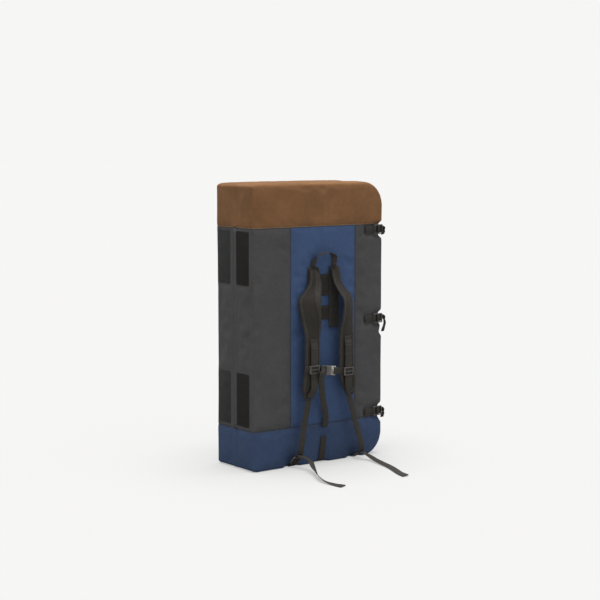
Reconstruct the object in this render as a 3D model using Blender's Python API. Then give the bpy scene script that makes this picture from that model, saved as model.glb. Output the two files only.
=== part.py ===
"""A two-panel bouldering crash pad, folded shut and stood on its short end.

Metres, +Z up. The origin is the middle of the harness half's base. The carrying harness faces -Y, the
folding hinge is on the -X side and the three closure straps cross the +X side to the rear half.
"""

import math

import bmesh
import bpy
from mathutils import Matrix, Vector
from mathutils.bvhtree import BVHTree

# Sizes of the two halves
HEIGHT = 1.000
WIDTH = 0.575
HALF_THICKNESS = 0.110
HALF_GAP = 0.005
CAP_HEIGHT = 0.150
BOOT_HEIGHT = 0.142
CLOSURE_CORNER = 0.085
HINGE_CORNER = 0.024
OUTER_EDGE = 0.018
INNER_EDGE = 0.007
CROWN = 0.006
CROWN_FLAT_SHARE = 0.62
COVER = 0.002
FIT = 0.0003

# Layers of foam in each half, from the outside of the folded pad to the landing face
BASE_FOAM = 0.012
LANDING_FOAM = 0.018

# The blue panel set into the harness face
PANEL_LEFT = 0.158
PANEL_RIGHT = 0.128

# Folding hinge on the narrow side
HINGE_STAND_OFF = 0.0025
WELT_RADIUS = 0.0016
LEAF_WIDTH = 0.011
LEAF_THICKNESS = 0.0012
LEAF_END_INSET = 0.004

# Hook and loop patches on the narrow side
PATCH_WIDTH = 0.0765
PATCH_HEIGHT = 0.187
PATCH_THICKNESS = 0.0012
HOOK_FROM_HINGE = 0.0115
LOOP_FROM_HINGE = 0.0195
PATCH_SEAM_INSET = 0.0125
PATCH_CORNER = 0.005

# Webbing, and the clearance round it in buckles
WEB = 0.025
WEB_THICKNESS = 0.0016
WEB_PLAY = 0.0004

# Harness on the panel
YOKE_STRAP = 0.045
YOKE_THICKNESS = 0.0024
YOKE_SPREAD = 0.047
YOKE_BELOW_CAP = 0.144
YOKE_LENGTH = 0.220
CROSS_THICKNESS = 0.0018
UPPER_CROSS_DROP = 0.028
UPPER_CROSS_HEIGHT = 0.076
LOWER_CROSS_DROP = 0.140
LOWER_CROSS_HEIGHT = 0.050
LOOP_RISE = 0.043
LOOP_STAND_OFF = 0.0195
LOOP_WEB = 0.022
LOOP_FOOT = 0.006
LOOP_SPREAD_SHARES = (1.0, 0.93, 0.62, 0.0)
LOOP_OFF_SHARES = (0.0, 0.45, 0.90, 1.0)
LOOP_RISE_SHARES = (0.0, 0.42, 0.82, 1.0)
LOOP_TURN_SHARES = (0.0, 0.14, 0.42, 0.58, 0.86, 1.0)
LOOP_TURN_DEGREES = (0.0, 0.0, 90.0, 90.0, 180.0, 180.0)

# Shoulder pads: stations run from the top seam to the lower tip
PAD_DROP = 0.006
PAD_LENGTH = 0.458
PAD_WIDTH = 0.078
PAD_THICKNESS = 0.014
PAD_SPREAD = 0.093
PAD_STAND_OFF = 0.038
PAD_STATION_SHARES = (0.0, 0.10, 0.16, 0.24, 0.265, 0.39, 0.52, 0.74, 0.86, 0.945, 1.0)
PAD_WIDTH_SHARES = (0.47, 0.55, 0.72, 1.0, 0.99, 0.90, 0.80, 0.82, 0.87, 0.67, 0.38)
PAD_SPREAD_SHARES = (0.505, 0.53, 0.67, 0.92, 0.93, 0.87, 0.82, 0.82, 0.89, 0.98, 1.0)
PAD_OFF_SHARES = (0.24, 0.47, 0.63, 0.84, 0.88, 1.0, 1.0, 1.0, 1.0, 0.95, 0.92)
PAD_DEPTH_SHARES = (0.45, 0.72, 0.85, 1.0, 1.0, 1.0, 1.0, 1.0, 1.0, 0.80, 0.50)
PAD_ROLL_DEGREES = (0.0, 16.0, 24.0, 30.0, 30.0, 22.0, 0.0, 0.0, 0.0, 0.0, 0.0)
PAD_RIM_SHARE = 0.42
PAD_SHOULDER_SHARE = 0.42
PAD_SHOULDER_DEPTH_SHARE = 0.8

# Webbing down the front of each shoulder pad, and the sliders on it
PAD_WEB = 0.030
PAD_WEB_DROP = 0.243
PAD_WEB_END = 0.006
RAIL_SHARE = 0.82
RAIL_RAMP = 0.014
RAIL_DROP = 0.415
SLIDER_WIDTH = 0.040
SLIDER_HEIGHT = 0.029
SLIDER_BAR = 0.004
SLIDER_FRONT = 0.0022
SLIDER_BACK = 0.0015
SLIDER_LEFT_DROP = 0.351
SLIDER_RIGHT_DROP = 0.370

# Side-release buckle: one size for the chest strap and the closures
BUCKLE_WIDTH = 0.033
SOCKET_DEPTH = 0.0190
SOCKET_THICKNESS = 0.0105
SOCKET_WALL = 0.0020
SOCKET_CAVITY_DEPTH = 0.0172
PLUG_THICKNESS = 0.0045
PLUG_BODY = 0.022
PLUG_NECK = 0.0008
PRONG_LENGTH = 0.0160
PRONG_WIDTH = 0.0045
TONGUE_WIDTH = 0.0070
TONGUE_LENGTH = 0.0130
BAR = 0.0032
BAR_THICKNESS = 0.0036
BUCKLE_BAR_PITCH = 0.0078
WINDOW_START = 0.006
WINDOW_LENGTH = 0.009

# Ladder lock: three bars in a frame, longer on the closures than at the base
LOCK_PITCH = 0.0138
CLOSURE_LOCK_PITCH = 0.0175
LOCK_RAIL = 0.0040
LOCK_BAR = 0.0036
LOCK_CORNER = 0.0030

# Turns of a strap round a buckle's bars
THREADED_DEGREES = 250.0
LOOPED_DEGREES = 240.0

# Chest strap, measured sideways from the middle of the harness
CHEST_LEFT_END = 0.118
CHEST_RIGHT_END = 0.103
CHEST_MOUTH = -0.0075
CHEST_FLAP = 0.016
CHEST_TAIL_CURL = 0.005
CHEST_TAIL_DROP = 0.215
CHEST_TAIL_SHIFT = 0.050
CHEST_TAIL_OFF = 0.0095
CHEST_CURL_SHARES = ((-1.0, -1.0, 0.0), (-1.0, -2.0, 0.0), (-1.0, -3.0, -1.0), (-1.0, -3.0, -4.0))
CHEST_TAIL_SHARES = (0.14, 0.38, 0.64, 0.84, 1.0)
CHEST_TAIL_SHIFT_SHARES = (0.0, 0.25, 0.68, 0.98, 1.0)

# Lower webbings, from the pad tips through the locks at the base and out over the floor
LEFT_LOCK_OUT = 0.1335
RIGHT_LOCK_OUT = 0.1445
LEFT_LOCK_RISE = 0.0260
RIGHT_LOCK_RISE = 0.0180
LEFT_LOCK_OFF = 0.0165
RIGHT_LOCK_OFF = 0.0200
LOWER_LEAN_DEGREES = {"left": 11.0, "right": -14.0}
LOWER_TIP_DEGREES = {"left": 38.0, "right": 60.0}
LOWER_SLACK = 0.020
LEFT_TAIL_REACH = 0.348
RIGHT_TAIL_REACH = 0.355
LEFT_TAIL_SWAY = 0.050
RIGHT_TAIL_SWAY = 0.060
TAIL_LIFT = 0.034
TAIL_CLEAR = 0.0010
TAIL_LEAD = 0.008
TAIL_REACH_SHARES = {
    "left": (0.22, 0.30, 0.38, 0.50, 0.63, 0.76, 0.87, 1.0),
    "right": (0.20, 0.25, 0.32, 0.43, 0.61, 0.75, 0.88, 1.0),
}
TAIL_SWAY_SHARES = {
    "left": (-0.24, -0.07, 0.16, 0.56, 0.98, 1.17, 1.11, 1.0),
    "right": (-0.15, -0.17, -0.12, 0.0, 0.23, 0.52, 0.82, 1.0),
}
TAIL_LIFT_SHARES = {
    "left": (1.0, 0.62, 0.20, 0.0, 0.0, 0.0, 0.0, 0.0),
    "right": (0.47, 0.32, 0.19, 0.09, 0.02, 0.0, 0.0, 0.0),
}
TAIL_TILT_DEGREES = {
    "left": (-12.0, -26.0, -38.0, -52.0, -46.0, -20.0, 2.0, 8.0),
    "right": (0.0, 0.0, 2.0, 6.0, 8.0, 8.0, 8.0, 10.0),
}
ANCHOR_FOOT = 0.0045
CENTRE_WEB_TOP = 0.095
CENTRE_WEB_LEAN = 0.0045
CENTRE_WEB_FOOT = 0.0040

# Closures on the +X side
UPPER_CLOSURE_BELOW_CAP = 0.021
MIDDLE_CLOSURE_SHARE = 0.504
LOWER_CLOSURE_ABOVE_BOOT = 0.019
UPPER_TAIL_DROP = 0.019
MIDDLE_TAIL_DROP = 0.050
LOWER_TAIL_DROP = 0.026
UPPER_TAIL_OUT = 0.006
MIDDLE_TAIL_OUT = 0.0125
LOWER_TAIL_OUT = 0.008
CLOSURE_TAIL_SHARES = (0.10, 0.40, 1.0)
CLOSURE_TAIL_OUT_SHARES = (0.70, 1.0, 0.05)
CLOSURE_TAIL_TWIST_DEGREES = 22.0
CLOSURE_LOCK_INSET = 0.0208
CLOSURE_TAB_END = 0.205
CLOSURE_TAB_NECK = 0.010
CLOSURE_DRAW = 0.004
CLOSURE_DRAW_SPAN = 0.036
CLOSURE_DRAW_FLAT_SHARE = 0.5
CLOSURE_LEVEL_SHARES = (-2.0, -1.5, -1.0, -0.5, 0.5, 1.0, 1.5, 2.0)
SOCKET_FROM_FOLD = 0.004
SOCKET_SIDE_CLEAR = 0.0008
CLOSURE_FLAP = 0.016
CLOSURE_ANCHOR_RUN = 0.034
CORNER_WRAP = 0.0225
CORNER_WRAP_DEGREES = (20.0, 42.0)

# How finely curved shapes are divided
CLOSURE_ARC_STEPS = 6
HINGE_ARC_STEPS = 3
SIDE_STEPS = 4
EDGE_STEPS = 4
WELT_STEPS = 10
INNER_EDGE_STEPS = 2
TURN_STEPS = 6
LOOP_STEPS = 4
PAD_WEB_STEPS = 15
CHEST_TAIL_STEPS = 2
TAIL_STEPS = 3
LOWER_STEPS = 3
TAB_STEPS = 3
PAD_RINGS = 36

# Places that follow from the sizes
FRONT = -HALF_THICKNESS / 2
FOLD_Y = HALF_THICKNESS / 2 + HALF_GAP / 2
HINGE_X = -WIDTH / 2 - HINGE_STAND_OFF
REAR_INNER = FOLD_Y + HALF_GAP / 2
REAR_OUTER = REAR_INNER + HALF_THICKNESS
CAP_SEAM = HEIGHT - CAP_HEIGHT
BOOT_SEAM = BOOT_HEIGHT
PANEL_MIN = -WIDTH / 2 + PANEL_LEFT
PANEL_MAX = WIDTH / 2 - PANEL_RIGHT
HARNESS_X = (PANEL_MIN + PANEL_MAX) / 2
YOKE_TOP = CAP_SEAM - YOKE_BELOW_CAP
YOKE_BOTTOM = YOKE_TOP - YOKE_LENGTH
UPPER_CROSS_TOP = YOKE_TOP - UPPER_CROSS_DROP
LOWER_CROSS_TOP = YOKE_TOP - LOWER_CROSS_DROP
PAD_TOP = YOKE_TOP - PAD_DROP
PAD_TIP = PAD_TOP - PAD_LENGTH
PAD_WEB_TOP = PAD_TOP - PAD_WEB_DROP
RAIL_END = PAD_TOP - RAIL_DROP
SLIDER_LEFT_Z = PAD_TOP - SLIDER_LEFT_DROP
SLIDER_RIGHT_Z = PAD_TOP - SLIDER_RIGHT_DROP
LOWER_LOCK_OUT = {"left": LEFT_LOCK_OUT, "right": RIGHT_LOCK_OUT}
LOWER_LOCK_RISE = {"left": LEFT_LOCK_RISE, "right": RIGHT_LOCK_RISE}
LOWER_LOCK_OFF = {"left": LEFT_LOCK_OFF, "right": RIGHT_LOCK_OFF}
TAIL_REACH = {"left": LEFT_TAIL_REACH, "right": RIGHT_TAIL_REACH}
TAIL_SWAY = {"left": LEFT_TAIL_SWAY, "right": RIGHT_TAIL_SWAY}
CLOSURE_HEIGHTS = {
    "upper": CAP_SEAM - UPPER_CLOSURE_BELOW_CAP,
    "middle": HEIGHT * MIDDLE_CLOSURE_SHARE,
    "lower": BOOT_SEAM + LOWER_CLOSURE_ABOVE_BOOT,
}
CLOSURE_TAIL_DROPS = {"upper": UPPER_TAIL_DROP, "middle": MIDDLE_TAIL_DROP, "lower": LOWER_TAIL_DROP}
CLOSURE_TAIL_OUTS = {"upper": UPPER_TAIL_OUT, "middle": MIDDLE_TAIL_OUT, "lower": LOWER_TAIL_OUT}
OVERRUN = HEIGHT / 10
CHEST_LIFT = FIT + WEB_THICKNESS / 2

CANVAS_BROWN = (0.147, 0.075, 0.034)
CANVAS_GREY = (0.055, 0.055, 0.059)
CANVAS_BLUE = (0.038, 0.065, 0.133)
BOOT_BLUE = (0.040, 0.058, 0.122)
WEBBING_BLACK = (0.033, 0.029, 0.026)
HOOK_BLACK = (0.017, 0.014, 0.011)
LOOP_GREY = (0.034, 0.034, 0.038)
PLASTIC_BLACK = (0.040, 0.038, 0.036)
FOAM_DENSE = (0.10, 0.10, 0.11)
FOAM_OPEN = (0.62, 0.58, 0.44)

DOWN = Vector((0, 0, -1))
UP = Vector((0, 0, 1))
RIGHT = Vector((1, 0, 0))
OUT = Vector((0, -1, 0))


def clear_scene():
    for obj in list(bpy.data.objects):
        bpy.data.objects.remove(obj, do_unlink=True)


def finish(name, colour, roughness, metallic=0.0):
    material = bpy.data.materials.new(name)
    material.use_nodes = True
    shader = material.node_tree.nodes["Principled BSDF"]
    shader.inputs["Base Color"].default_value = (*colour, 1.0)
    shader.inputs["Roughness"].default_value = roughness
    shader.inputs["Metallic"].default_value = metallic
    return material


def canvas(name, colour):
    return finish(name, colour, 0.78)


def webbing(name):
    return finish(name, WEBBING_BLACK, 0.70)


def plastic(name):
    return finish(name, PLASTIC_BLACK, 0.42)


def foam(name, colour):
    return finish(name, colour, 0.95)


def new_object(name, mesh, material, parent=None):
    obj = bpy.data.objects.new(name, mesh)
    bpy.context.scene.collection.objects.link(obj)
    if not mesh.materials:
        mesh.materials.append(material)
    if parent:
        obj.parent = parent
        obj.matrix_parent_inverse = Matrix.Translation(-parent.location)
    return obj


def mesh_from(name, points, faces):
    mesh = bpy.data.meshes.new(name)
    shape = bmesh.new()
    vertices = [shape.verts.new(point) for point in points]
    for face in faces:
        shape.faces.new([vertices[index] for index in face])
    bmesh.ops.recalc_face_normals(shape, faces=shape.faces)
    shape.to_mesh(mesh)
    shape.free()
    return mesh


def box_mesh(name, low, high):
    points = [(x, y, z) for x in (low[0], high[0]) for y in (low[1], high[1]) for z in (low[2], high[2])]
    faces = [(0, 1, 3, 2), (4, 6, 7, 5), (0, 4, 5, 1), (2, 3, 7, 6), (0, 2, 6, 4), (1, 5, 7, 3)]
    return mesh_from(name, points, faces)


def loft(name, rings, smooth=True):
    """Joins rings of equal length and closes both ends."""
    size = len(rings[0])
    points = [point for ring in rings for point in ring]
    faces = [tuple(range(size)), tuple(range(len(points) - size, len(points)))]
    for row in range(len(rings) - 1):
        for index in range(size):
            after = (index + 1) % size
            faces.append(
                (row * size + index, row * size + after, (row + 1) * size + after, (row + 1) * size + index)
            )
    mesh = mesh_from(name, points, faces)
    if smooth:
        mesh.shade_smooth()
        mesh.set_sharp_from_angle(angle=math.radians(35))
    return mesh


def empty(name, place):
    obj = bpy.data.objects.new(name, None)
    obj.location = place
    bpy.context.scene.collection.objects.link(obj)
    return obj


def helper(mesh):
    obj = bpy.data.objects.new(mesh.name, mesh)
    bpy.context.scene.collection.objects.link(obj)
    obj.hide_render = True
    obj.display_type = "WIRE"
    return obj


def combine(obj, cutter, operation):
    modifier = obj.modifiers.new(cutter.name, "BOOLEAN")
    modifier.operation = operation
    modifier.object = cutter
    modifier.solver = "EXACT"


def baked(name, mesh, cutters):
    """The mesh with every cutter taken away, so that copies can share it."""
    block = helper(mesh)
    for cutter in cutters:
        combine(block, cutter, "DIFFERENCE")
    bpy.context.view_layer.update()
    result = bpy.data.meshes.new_from_object(block.evaluated_get(bpy.context.evaluated_depsgraph_get()))
    result.name = name
    result.materials.clear()
    for obj in (block, *cutters):
        bpy.data.objects.remove(obj, do_unlink=True)
    return result


def eased(stations, values, place):
    """Reads a smooth curve through the stations that never passes its own high and low values."""
    slopes = [(values[i + 1] - values[i]) / (stations[i + 1] - stations[i]) for i in range(len(values) - 1)]
    tangents = [slopes[0]]
    for before, after in zip(slopes, slopes[1:]):
        tangents.append(2 * before * after / (before + after) if before * after > 0 else 0.0)
    tangents.append(slopes[-1])
    index = max(i for i in range(len(slopes)) if stations[i] <= place or i == 0)
    span = stations[index + 1] - stations[index]
    t = (place - stations[index]) / span
    return (
        (2 * t**3 - 3 * t**2 + 1) * values[index]
        + (t**3 - 2 * t**2 + t) * span * tangents[index]
        + (3 * t**2 - 2 * t**3) * values[index + 1]
        + (t**3 - t**2) * span * tangents[index + 1]
    )


def smooth_path(points, steps):
    """A Catmull-Rom curve through the points."""
    points = [Vector(point) for point in points]
    padded = [points[0] * 2 - points[1], *points, points[-1] * 2 - points[-2]]
    path = []
    for a, b, c, d in zip(padded, padded[1:], padded[2:], padded[3:]):
        for step in range(steps):
            t = step / steps
            square = (a * 2 - b * 5 + c * 4 - d) * t**2
            cube = (b * 3 - a - c * 3 + d) * t**3
            path.append((b * 2 + (c - a) * t + square + cube) / 2)
    return [*path, points[-1]]


def ribbon(name, spine, across, width, thickness, parent=None):
    """A flat strap along the spine. across is its width direction, one for all or one a point."""
    directions = across if isinstance(across, list) else [across] * len(spine)
    rings = []
    for index, centre in enumerate(spine):
        before = spine[max(index - 1, 0)]
        after = spine[min(index + 1, len(spine) - 1)]
        tangent = (after - before).normalized()
        side = directions[index] - tangent * directions[index].dot(tangent)
        side.normalize()
        normal = tangent.cross(side)
        reach = side * width / 2
        depth = normal * thickness / 2
        corners = (-reach - depth, reach - depth, reach + depth, depth - reach)
        rings.append([centre + corner for corner in corners])
    return new_object(name, loft(name, rings), webbing(name), parent)


# The padded halves


def closure_draw(z):
    """How far the closure side is drawn in at z: fully under each strap, easing out above and below."""
    pull = 0.0
    for height in CLOSURE_HEIGHTS.values():
        away = abs(z - height) / CLOSURE_DRAW_SPAN
        t = min(max((away - CLOSURE_DRAW_FLAT_SHARE) / (2 - CLOSURE_DRAW_FLAT_SHARE), 0), 1)
        pull += 1 - t * t * (3 - 2 * t)
    return CLOSURE_DRAW * pull


def closure_levels():
    """Heights along the closure side that give each strap's groove its shape."""
    heights = sorted(CLOSURE_HEIGHTS.values())
    return [z + CLOSURE_DRAW_SPAN * share for z in heights for share in CLOSURE_LEVEL_SHARES]


def arc(centre, radius, start, steps):
    angles = [math.radians(start + 90 * step / steps) for step in range(steps + 1)]
    return [(centre[0] + radius * math.cos(a), centre[1] + radius * math.sin(a)) for a in angles]


def between(first, last, steps):
    """Points strictly between two others."""
    return [
        (first[0] + (last[0] - first[0]) * i / steps, first[1] + (last[1] - first[1]) * i / steps)
        for i in range(1, steps)
    ]


def outline(inset, straight=False):
    """The half seen from the front, as (x, z), shrunk all round by inset."""
    side = WIDTH / 2 - inset
    top = HEIGHT - inset
    wide = CLOSURE_CORNER - inset
    tight = HINGE_CORNER - inset
    corners = [
        arc((-side + tight, inset + tight), tight, 180, HINGE_ARC_STEPS),
        arc((side - wide, inset + wide), wide, 270, CLOSURE_ARC_STEPS),
        arc((side - wide, top - wide), wide, 0, CLOSURE_ARC_STEPS),
        arc((-side + tight, top - tight), tight, 90, HINGE_ARC_STEPS),
    ]
    points = []
    for index in range(4):
        points += corners[index]
        if index == 1 and not straight:
            points += [(side, z) for z in closure_levels()]
        else:
            points += between(corners[index][-1], corners[(index + 1) % 4][0], SIDE_STEPS)
    if straight:
        return [(x - CLOSURE_DRAW * max(x, 0) / side, z) for x, z in points]
    return [(x - closure_draw(z) * max(x, 0) / side, z) for x, z in points]


def slab(name, outer, inner, inset=0.0, straight=False):
    """One padded half between y = outer and y = inner, with its outer face crowned and its edges round."""
    way = 1 if inner > outer else -1
    thickness = abs(inner - outer) - 2 * inset
    outer_edge = OUTER_EDGE - inset
    inner_edge = INNER_EDGE - inset
    middle = HEIGHT / 2
    face = outline(inset + outer_edge, straight)
    levels = []
    for share in (CROWN_FLAT_SHARE, (1 + CROWN_FLAT_SHARE) / 2, 1.0):
        fall = CROWN * ((share - CROWN_FLAT_SHARE) / (1 - CROWN_FLAT_SHARE)) ** 2
        levels.append(([(x * share, middle + (z - middle) * share) for x, z in face], fall))
    for step in range(1, EDGE_STEPS + 1):
        angle = math.pi / 2 * step / EDGE_STEPS
        levels.append(
            (
                outline(inset + outer_edge * (1 - math.sin(angle)), straight),
                CROWN + outer_edge * (1 - math.cos(angle)),
            )
        )
    for step in range(INNER_EDGE_STEPS + 1):
        angle = math.pi / 2 * (1 - step / INNER_EDGE_STEPS)
        levels.append(
            (
                outline(inset + inner_edge * (1 - math.sin(angle)), straight),
                thickness - inner_edge * (1 - math.cos(angle)),
            )
        )
    rings = [[(x, outer + way * (inset + depth), z) for x, z in ring] for ring, depth in levels]
    return loft(name, rings)


def zone(name, low, high):
    return helper(box_mesh(name, low, high))


def band(name, bottom, top, near, far):
    reach = WIDTH / 2 + OVERRUN
    return zone(name, (-reach, near, bottom), (reach, far, top))


def covers(side, outer, inner, colours, parent):
    """Cap, sleeve and boot of one half: fabric shells, sewn edge to edge round the foam."""
    near = min(outer, inner) - OVERRUN
    far = max(outer, inner) + OVERRUN
    hollow = helper(slab(f"{side}_hollow", outer, inner, COVER))
    heights = {
        "cap_cover": (CAP_SEAM + FIT / 2, HEIGHT + OVERRUN),
        "sleeve_cover": (BOOT_SEAM + FIT / 2, CAP_SEAM - FIT / 2),
        "boot_cover": (-OVERRUN, BOOT_SEAM - FIT / 2),
    }
    made = {}
    for part, (bottom, top) in heights.items():
        name = f"{side}_{part}"
        obj = new_object(name, slab(name, outer, inner), canvas(name, colours[part]), parent)
        combine(obj, hollow, "DIFFERENCE")
        combine(obj, band(f"{name}_zone", bottom, top, near, far), "INTERSECT")
        made[part] = obj
    return made


def foam_core(side, outer, inner, parent):
    """Three sheets of foam, glued face to face inside the covers."""
    way = 1 if inner > outer else -1
    inset = COVER + FIT
    thickness = abs(inner - outer)
    sheets = {
        "base_foam": (0.0, BASE_FOAM, FOAM_DENSE),
        "core_foam": (BASE_FOAM, thickness - LANDING_FOAM, FOAM_OPEN),
        "landing_foam": (thickness - LANDING_FOAM, thickness, FOAM_DENSE),
    }
    for part, (start, end, colour) in sheets.items():
        name = f"{side}_{part}"
        obj = new_object(name, slab(name, outer, inner, inset, True), foam(name, colour), parent)
        ends = sorted((outer + way * (start + FIT / 2), outer + way * (end - FIT / 2)))
        combine(obj, band(f"{name}_zone", -OVERRUN, HEIGHT + OVERRUN, *ends), "INTERSECT")


def harness_panel(sleeve):
    """The blue panel between two seams of the harness half's sleeve."""
    near = FRONT - OVERRUN
    window = zone("panel_window", (PANEL_MIN, near, -OVERRUN), (PANEL_MAX, 0, HEIGHT + OVERRUN))
    bottom = BOOT_SEAM + FIT / 2
    top = CAP_SEAM - FIT / 2
    fill = zone("panel_fill", (PANEL_MIN + FIT, near, bottom), (PANEL_MAX - FIT, 0, top))
    name = "harness_panel"
    panel = new_object(name, slab(name, FRONT, -FRONT), canvas(name, CANVAS_BLUE))
    combine(panel, bpy.data.objects["front_hollow"], "DIFFERENCE")
    combine(panel, fill, "INTERSECT")
    combine(sleeve, window, "DIFFERENCE")


def harness_surface():
    """The outside of the harness half, for seating what is sewn to it."""
    shape = bmesh.new()
    mesh = slab("surface", FRONT, -FRONT)
    shape.from_mesh(mesh)
    tree = BVHTree.FromBMesh(shape)
    shape.free()
    bpy.data.meshes.remove(mesh)
    return tree


def seat(surface, x, z):
    """The y of the harness face at x and z."""
    return surface.ray_cast(Vector((x, FRONT - OVERRUN, z)), -OUT)[0].y


def sewn_sheet(name, surface, foot, head, width, thickness, shares=(0.0, 1.0)):
    """A flat strip laid on the harness face from foot to head, both (x, z), with a row at each share."""
    rings = []
    for share in shares:
        x, z = Vector(foot).lerp(Vector(head), share)
        row = []
        for edge in (x - width / 2, x + width / 2):
            row.append(Vector((edge, seat(surface, edge, z) - FIT, z)))
        rings.append([row[0], row[1], row[1] + OUT * thickness, row[0] + OUT * thickness])
    return new_object(name, loft(name, rings), webbing(name))


# The folding hinge and its patches


def hinge_leaf(name, start, end, material, parent=None):
    x = -WIDTH / 2 - FIT
    low = (x - LEAF_THICKNESS, min(start, end), BOOT_SEAM + LEAF_END_INSET)
    high = (x, max(start, end), CAP_SEAM - LEAF_END_INSET)
    return new_object(name, box_mesh(name, low, high), material, parent)


def hinge_strip(rear):
    """A fabric hinge: a welt on the fold line, with one leaf sewn to each half."""
    name = "hinge_strip_front"
    leaf = hinge_leaf(name, FOLD_Y - LEAF_WIDTH, FOLD_Y, canvas(name, CANVAS_GREY))
    bottom = BOOT_SEAM + LEAF_END_INSET
    length = CAP_SEAM - LEAF_END_INSET - bottom
    angles = [math.tau * step / WELT_STEPS for step in range(WELT_STEPS)]
    circle = [(HINGE_X + WELT_RADIUS * math.cos(a), FOLD_Y + WELT_RADIUS * math.sin(a)) for a in angles]
    rings = [[(x, y, z) for x, y in circle] for z in (bottom, bottom + length)]
    combine(leaf, helper(loft("hinge_welt", rings)), "UNION")
    name = "hinge_strip_rear"
    start = FOLD_Y + WELT_RADIUS + FIT
    hinge_leaf(name, start, FOLD_Y + LEAF_WIDTH, canvas(name, CANVAS_GREY), rear)


def patch(name, start, bottom, colour, parent=None):
    """One hook or loop patch on the narrow side, with its corners cut round."""
    x = -WIDTH / 2 - FIT
    low_y, high_y = sorted((start, start + math.copysign(PATCH_WIDTH, start - FOLD_Y)))
    top = bottom + PATCH_HEIGHT
    r = PATCH_CORNER
    shape = []
    for centre, angle in (
        ((low_y + r, bottom + r), 180),
        ((high_y - r, bottom + r), 270),
        ((high_y - r, top - r), 0),
        ((low_y + r, top - r), 90),
    ):
        shape += arc(centre, r, angle, 2)
    rings = [[(x - depth, y, z) for y, z in shape] for depth in (0, PATCH_THICKNESS)]
    new_object(name, loft(name, rings, smooth=False), finish(name, colour, 0.95), parent)


def patches(rear):
    upper = CAP_SEAM - PATCH_SEAM_INSET - PATCH_HEIGHT
    lower = BOOT_SEAM + PATCH_SEAM_INSET
    for level, bottom in (("upper", upper), ("lower", lower)):
        patch(f"hook_patch_{level}", FOLD_Y - HOOK_FROM_HINGE, bottom, HOOK_BLACK)
        patch(f"loop_patch_{level}", FOLD_Y + LOOP_FROM_HINGE, bottom, LOOP_GREY, rear)


# Buckles and locks, made in their own frame: x along the strap, y out of the face, z across it


def frame_plate(name, xs, zs, holes, thickness):
    """A plate divided by the lines xs and zs, with the cells listed in holes left open."""
    points = [(x, y, z) for y in (-thickness / 2, thickness / 2) for x in xs for z in zs]
    layer = len(xs) * len(zs)
    solid = [(i, j) for i in range(len(xs) - 1) for j in range(len(zs) - 1) if (i, j) not in holes]
    faces = []
    for i, j in solid:
        a = i * len(zs) + j
        quad = (a, a + 1, a + len(zs) + 1, a + len(zs))
        faces.append(quad)
        faces.append(tuple(layer + index for index in reversed(quad)))
        for (first, last), beside in zip(
            ((quad[0], quad[1]), (quad[1], quad[2]), (quad[2], quad[3]), (quad[3], quad[0])),
            ((i - 1, j), (i, j + 1), (i + 1, j), (i, j - 1)),
        ):
            if beside not in solid:
                faces.append((first, last, layer + last, layer + first))
    used = sorted({index for face in faces for index in face})
    place = {index: k for k, index in enumerate(used)}
    return mesh_from(name, [points[i] for i in used], [tuple(place[i] for i in face) for face in faces])


def lock_mesh(name, pitch):
    """Ladder lock: a frame with three bars. The strap bar is at +x, the tab bar at -x."""
    slot = WEB / 2 + WEB_PLAY * 2
    outer = slot + LOCK_RAIL
    half = LOCK_BAR / 2
    xs = [place + edge for place in (-pitch, 0, pitch) for edge in (-half, half)]
    zs = [-outer, -slot, slot, outer]
    mesh = frame_plate(name, xs, zs, {(1, 1), (3, 1)}, BAR_THICKNESS)
    shape = bmesh.new()
    shape.from_mesh(mesh)
    corners = [
        edge
        for edge in shape.edges
        if all(abs(v.co.x) > pitch and abs(v.co.z) > slot + LOCK_RAIL / 2 for v in edge.verts)
        and abs(edge.verts[0].co.y - edge.verts[1].co.y) > BAR_THICKNESS / 2
    ]
    bmesh.ops.bevel(shape, geom=corners, offset=LOCK_CORNER, segments=2, profile=0.5, affect="EDGES")
    shape.to_mesh(mesh)
    shape.free()
    return mesh


def socket_mesh():
    """Socket of the side-release buckle: mouth at x = 0, housing and two webbing bars towards +x."""
    half = BUCKLE_WIDTH / 2
    deep = SOCKET_THICKNESS / 2
    bars = SOCKET_DEPTH + 2 * BUCKLE_BAR_PITCH + BAR / 2
    cavity = deep - SOCKET_WALL
    slot = WEB / 2 + WEB_PLAY * 2
    thin = BAR_THICKNESS / 2
    corner = SOCKET_WALL
    section = [
        (-deep + corner, -half),
        (deep - corner, -half),
        (deep, -half + corner),
        (deep, half - corner),
        (deep - corner, half),
        (-deep + corner, half),
        (-deep, half - corner),
        (-deep, -half + corner),
    ]
    rings = []
    for x, scale in ((0, 1), (SOCKET_DEPTH, 1), (SOCKET_DEPTH + BAR / 2, thin / deep), (bars, thin / deep)):
        rings.append([(x, y * scale, z) for y, z in section])
    cutters = [
        zone(
            "cavity",
            (-OVERRUN, -cavity, -half + SOCKET_WALL),
            (SOCKET_CAVITY_DEPTH, cavity, half - SOCKET_WALL),
        ),
        zone(
            "windows",
            (WINDOW_START, -PLUG_THICKNESS / 2, -OVERRUN),
            (WINDOW_START + WINDOW_LENGTH, PLUG_THICKNESS / 2, OVERRUN),
        ),
    ]
    for start in (SOCKET_DEPTH + BAR / 2, SOCKET_DEPTH + BUCKLE_BAR_PITCH + BAR / 2):
        end = start + BUCKLE_BAR_PITCH - BAR
        cutters.append(zone("slot", (start, -OVERRUN, -slot), (end, OVERRUN, slot)))
    return baked("buckle_socket", loft("socket_block", rings, smooth=False), cutters)


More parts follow.
